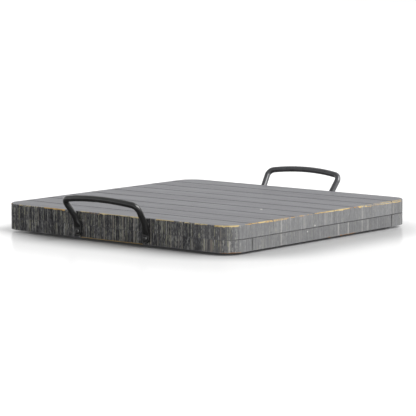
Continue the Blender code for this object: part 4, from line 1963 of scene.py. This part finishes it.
@dataclass
class Ironwork:
    """The two handles, their screws, and the screws under the frame."""

    # The handles share one black enamel: the near one's copy is darker as painted shade, the far
    # one's paler and glossier as painted light.
    near_handle_shaded_finish: Metal = Metal((0.010, 0.010, 0.010), roughness=0.32, metallic=0.0, coat=0.7)
    far_handle_lit_finish: Metal = Metal((0.055, 0.055, 0.061), roughness=0.32, metallic=0.0, coat=0.9)
    screw_finish: Metal = Metal((0.08, 0.08, 0.08), roughness=0.36, metallic=0.9)
    zinc_finish: Metal = Metal((0.45, 0.45, 0.44), roughness=0.35, metallic=1.0)
    head: float = 4.0 * MM
    head_height: float = 2.4 * MM
    shank: float = 1.9 * MM
    handle_screw_length: float = 25 * MM
    plank_screw_length: float = 32 * MM
    plank_screw_head: float = 3.8 * MM
    plank_screw_neck: float = 2.6 * MM
    plank_screw_lift: float = 1 * MM
    plank_screw_proud: float = 0.05 * MM
    tip: float = 5 * MM
    turn_cells: int = 9999
    turn_seed: int = 5

    def handles(self) -> tuple[RodHandle, RodHandle]:
        """Describe both handles.

        Returns:
            The left and the right one, each a few millimetres off the middle of its side and
            bent a little differently.
        """
        return (
            RodHandle("handle_left", -1, -1.5 * MM, 20.6 * MM),
            RodHandle("handle_right", 1, 5.3 * MM, 22 * MM),
        )

    def pan_profile(self) -> tuple[tuple[float, float], ...]:
        """Draw a pan-head screw.

        Returns:
            Points of (radius, height), from the middle of its head to its tip.
        """
        dome = self.head_height
        return (
            (0, dome),
            (self.head * 0.55, dome),
            (self.head * 0.88, dome * 0.72),
            (self.head, dome * 0.3),
            (self.head, 0),
            (self.shank, 0),
            (self.shank, self.tip - self.handle_screw_length),
            (0, -self.handle_screw_length),
        )

    def sunk_profile(self) -> tuple[tuple[float, float], ...]:
        """Draw a countersunk screw, whose head's face is a lift above the local zero.

        Returns:
            Points of (radius, height), from the middle of its head to its tip.
        """
        face = self.plank_screw_lift
        return (
            (0, face),
            (self.plank_screw_head, face),
            (self.plank_screw_head, face - 0.15 * self.plank_screw_neck),
            (self.shank, face - self.plank_screw_neck),
            (self.shank, face + self.tip - self.plank_screw_length),
            (0, face - self.plank_screw_length),
        )

    def dress_handles(self, uneven: bpy.types.NodeTree) -> None:
        """Build the handles and their screws.

        Args:
            uneven: The metals' shared unevenness.
        """
        # Lit and shaded copies of one enamel: painted shade on the near handle, painted light on
        # the far one.
        enamels = (
            self.near_handle_shaded_finish.build("shaded_near_enamel", uneven),
            self.far_handle_lit_finish.build("lit_far_enamel", uneven),
        )
        nickel = self.screw_finish.build("dark_nickel", uneven)
        for handle, enamel in zip(self.handles(), enamels):
            place_piece(handle.build(), handle.node, enamel)
            for node, seat in handle.screw_places():
                axis = np.array([handle.side, 0.0, 0])
                screw = CrossScrew(node, seat, axis, self.pan_profile())
                place_piece(screw.build(), node, nickel)

    def dress_plank_screws(self, uneven: bpy.types.NodeTree) -> None:
        """Build the screws that hold the planks, flush with the rails' underside.

        Args:
            uneven: The metals' shared unevenness.
        """
        zinc = self.zinc_finish.build("zinc_plate", uneven)
        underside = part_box("side_rail_left")[0][2]
        height = underside + self.plank_screw_lift - self.plank_screw_proud
        for node in sorted(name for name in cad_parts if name.startswith("plank_screw")):
            low, high = (np.array(corner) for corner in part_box(node))
            seat = np.array([(low[0] + high[0]) / 2, (low[1] + high[1]) / 2, height])
            cell = (np.array([place * self.turn_cells]) for place in seat[:2])
            turn = float(hashed(*cell, self.turn_seed)[0]) * math.pi
            down = np.array([0.0, 0, -1])
            screw = CrossScrew(node, seat, down, self.sunk_profile(), turn)
            place_piece(screw.build(), node, zinc)

    def dress(self) -> None:
        """Build the handles and every screw, and give them their finishes."""
        uneven = UnevenMetal().build()
        self.dress_handles(uneven)
        self.dress_plank_screws(uneven)


@dataclass
class Feet:
    """Round rubber pads with a soft lower edge."""

    finish: Rubber = Rubber()
    soft_edge: float = 0.8 * MM
    edge_points: int = 7
    columns: int = 64
    sharp_degrees: float = 40

    def pad(self, low: Array, high: Array) -> Array:
        """Turn a pad in a box: a flat underside, a quarter-round edge, and an upright wall.

        Args:
            low: The box's lowest corner.
            high: Its highest one.

        Returns:
            A grid of points, from the middle of the underside to the middle of the top.
        """
        centre, radius = (low + high) / 2, (high[0] - low[0]) / 2
        bend = np.linspace(0, math.pi / 2, self.edge_points)
        underside = [0, radius * 0.5, radius - self.soft_edge]
        edge = radius - self.soft_edge * (1 - np.sin(bend))
        radii = np.concatenate([underside, edge, [radius, radius * 0.6, 0]])
        rise = low[2] + self.soft_edge * (1 - np.cos(bend))
        heights = np.concatenate([[low[2]] * 3, rise, [high[2]] * 3])
        angle = np.linspace(0, 2 * math.pi, self.columns, endpoint=False)
        x = centre[0] + radii[:, None] * np.cos(angle)
        y = centre[1] + radii[:, None] * np.sin(angle)
        return np.stack([x, y, heights[:, None] + 0 * angle], axis=-1)

    def dress(self) -> None:
        """Build a pad in each CAD foot's box."""
        rubber = self.finish.build("black_rubber")
        for node in sorted(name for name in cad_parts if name.startswith("foot_")):
            low, high = (np.array(corner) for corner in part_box(node))
            piece = grid_mesh(node + "_pad", self.pad(low, high))
            close_mesh(piece, self.sharp_degrees)
            place_piece(piece, node, rubber)


# Studio

@dataclass(frozen=True)
class Studio:
    """White floor and background, one broad sun from the front, and the camera. The floor's
    camera-only glow paints a soft shadow round the tray.
    """

    floor_half: float = 9.0
    # The camera sees the floor darker than the light does, so that with the glow it paints a soft
    # shadow round the tray.
    floor_seen: Colour = (0.66, 0.66, 0.66)
    floor_lit: Colour = (0.86, 0.86, 0.86)
    floor_roughness: float = 0.26
    # Painted reflection: glossy rays see the floor dark near the tray and bright in front of it
    # and to its right.
    mirrored_dark: float = 0.08
    mirrored_bright: float = 0.9
    mirrored_span: Pair = (0.28, 0.36)
    world_diffuse: float = 0.26
    world_dark: float = 0.4
    bright_side: tuple[float, float, float] = (0.86, -0.12, 0.50)
    bright_span: Pair = (0.78, 0.88)
    bright_below: Pair = (0.35, 0.14)
    sun_strength: float = 3.3
    sun_angle: float = math.radians(46)
    sun_side: tuple[float, float, float] = (0.20, -0.74, 0.64)
    # Camera-only glow, weak near the tray: a painted shadow round it.
    glow_corner: float = 0.12
    glow_inner: float = 0.1085
    glow_lag: float = 0.021
    glow_lead: float = 0.010
    glow_near: Pair = (0.0, 0.095)
    glow_far: Pair = (0.02, 0.23)
    glow_near_share: float = 0.76
    glow: Pair = (0.025, 0.52)
    azimuth: float = math.radians(-50.61)
    elevation: float = math.radians(7.12)
    distance: float = 3.656
    target_height: float = 0.0222
    lens: float = 200.2
    shift_x: float = -0.00103
    shift_y: float = 0.0157

    def camera(self) -> None:
        """Aim the camera at the tray from the azimuth, the elevation and the distance."""
        ahead = np.array([
            -math.sin(self.azimuth) * math.cos(self.elevation),
            math.cos(self.azimuth) * math.cos(self.elevation),
            -math.sin(self.elevation),
        ])
        data = bpy.data.cameras.new("camera")
        data.lens = self.lens
        data.shift_x, data.shift_y = self.shift_x, self.shift_y
        data.clip_end = 100
        camera = bpy.data.objects.new("camera", data)
        camera.location = np.array([0, 0, self.target_height]) - ahead * self.distance
        camera.rotation_euler = (math.pi / 2 - self.elevation, 0, self.azimuth)
        bpy.context.scene.collection.objects.link(camera)
        bpy.context.scene.camera = camera

    def world(self) -> None:
        """Make the background.

        It is white where it is seen, and dimmer as a lamp. Reflections see it white to one side
        and near the horizon.
        """
        world = bpy.data.worlds.new("studio")
        world.use_nodes = True
        bpy.context.scene.world = world
        graph = Graph(world.node_tree)
        rays = graph.add("ShaderNodeLightPath").outputs
        way = graph.add("ShaderNodeTexCoord").outputs["Generated"]
        toward = graph.measure("DOT_PRODUCT", way, self.bright_side)
        _, _, height = graph.parts(way)
        low = graph.rise(height, self.bright_below)
        bright = graph.math("MAXIMUM", low, graph.rise(toward, self.bright_span))
        mirrored = graph.blend(bright, self.world_dark, 1.0)
        strength = graph.blend(rays["Is Glossy Ray"], self.world_diffuse, mirrored)
        strength = graph.blend(rays["Is Camera Ray"], strength, 1.0)
        backdrop = world.node_tree.nodes["Background"].inputs
        graph.feed(backdrop["Color"], (1.0, 1.0, 1.0))
        graph.feed(backdrop["Strength"], strength)

    def floor_glow_painted_shadow(self, graph: Graph, x: Socket, y: Socket) -> Socket:
        """Give the floor a glow of its own, seen only by the camera, which is weak under the tray
        and grows away from it; this paints a soft shadow round the tray.

        The distance is that from a rounded square, whose front edge stands out and whose back
        edge stands in a little. Two rises over it, one near and one far, are blended.

        Args:
            graph: The floor's graph.
            x: The place's first coordinate.
            y: Its second one.

        Returns:
            The light's strength.
        """
        front = graph.math("SUBTRACT", graph.times(y, -1.0), self.glow_lag)
        lengthways = graph.math("MAXIMUM", graph.math("ADD", y, self.glow_lead), front)
        beyond = [
            graph.math("MAXIMUM", graph.math("SUBTRACT", part, self.glow_inner), 0.0)
            for part in (graph.math("ABSOLUTE", x), lengthways)
        ]
        out = graph.measure("LENGTH", graph.place(*beyond, 0.0))
        away = graph.math("SUBTRACT", out, self.glow_corner)
        near, far = graph.rise(away, self.glow_near), graph.rise(away, self.glow_far)
        return graph.blend(graph.blend(self.glow_near_share, far, near), *self.glow)

    def floor_finish(self) -> bpy.types.Material:
        """Make the floor's material.

        Returns:
            The material, which is white where it is seen. In reflections it is dark near the
            tray, and bright in front of it and to its right.
        """
        material, graph, shader = surface(
            "white_floor", Roughness=self.floor_roughness, Specular_IOR_Level=0.5)
        rays = graph.add("ShaderNodeLightPath").outputs
        x, y, _ = graph.parts(graph.position())
        # Painted reflection: the floor as glossy rays see it.
        before = graph.math("MAXIMUM", x, graph.times(y, -1.0))
        bright = graph.rise(before, self.mirrored_span)
        mirrored = graph.blend(bright, self.mirrored_dark, self.mirrored_bright)
        colour = graph.mix(rays["Is Camera Ray"], self.floor_lit, self.floor_seen)
        colour = graph.mix(
            rays["Is Glossy Ray"], colour, graph.place(mirrored, mirrored, mirrored))
        # Painted shadow: the camera-only glow is weak near the tray.
        glow = graph.times(rays["Is Camera Ray"], self.floor_glow_painted_shadow(graph, x, y))
        graph.feed(shader["Base Color"], colour)
        graph.feed(shader["Emission Color"], (1.0, 1.0, 1.0))
        graph.feed(shader["Emission Strength"], glow)
        return material

    def floor(self) -> None:
        """Lay the floor, a level square under the tray."""
        mesh = bpy.data.meshes.new("floor")
        reach = self.floor_half
        corners = [(-reach, -reach, 0), (reach, -reach, 0), (reach, reach, 0), (-reach, reach, 0)]
        mesh.from_pydata(corners, [], [(0, 1, 2, 3)])
        mesh.materials.append(self.floor_finish())
        floor = bpy.data.objects.new("floor", mesh)
        bpy.context.scene.collection.objects.link(floor)

    def sun(self) -> None:
        """Hang the broad sun, in front of the tray and a little to the right."""
        data = bpy.data.lights.new("key", "SUN")
        data.energy = self.sun_strength
        data.angle = self.sun_angle
        lamp = bpy.data.objects.new("key", data)
        x, y, z = self.sun_side
        lamp.rotation_euler = (math.atan2(math.hypot(x, y), z), 0, math.atan2(y, x) + math.pi / 2)
        bpy.context.scene.collection.objects.link(lamp)

    def build(self) -> None:
        """Set the studio up."""
        bpy.context.scene.view_settings.view_transform = "Standard"
        self.camera()
        self.world()
        self.floor()
        self.sun()


def main() -> None:
    """Build the tray's surfaces in the frame, and the studio round it."""
    logging.basicConfig(level=logging.INFO, format="%(message)s")
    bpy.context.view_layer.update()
    Woodwork().dress()
    Ironwork().dress()
    Feet().dress()
    Studio().build()


if __name__ == "__main__":
    main()
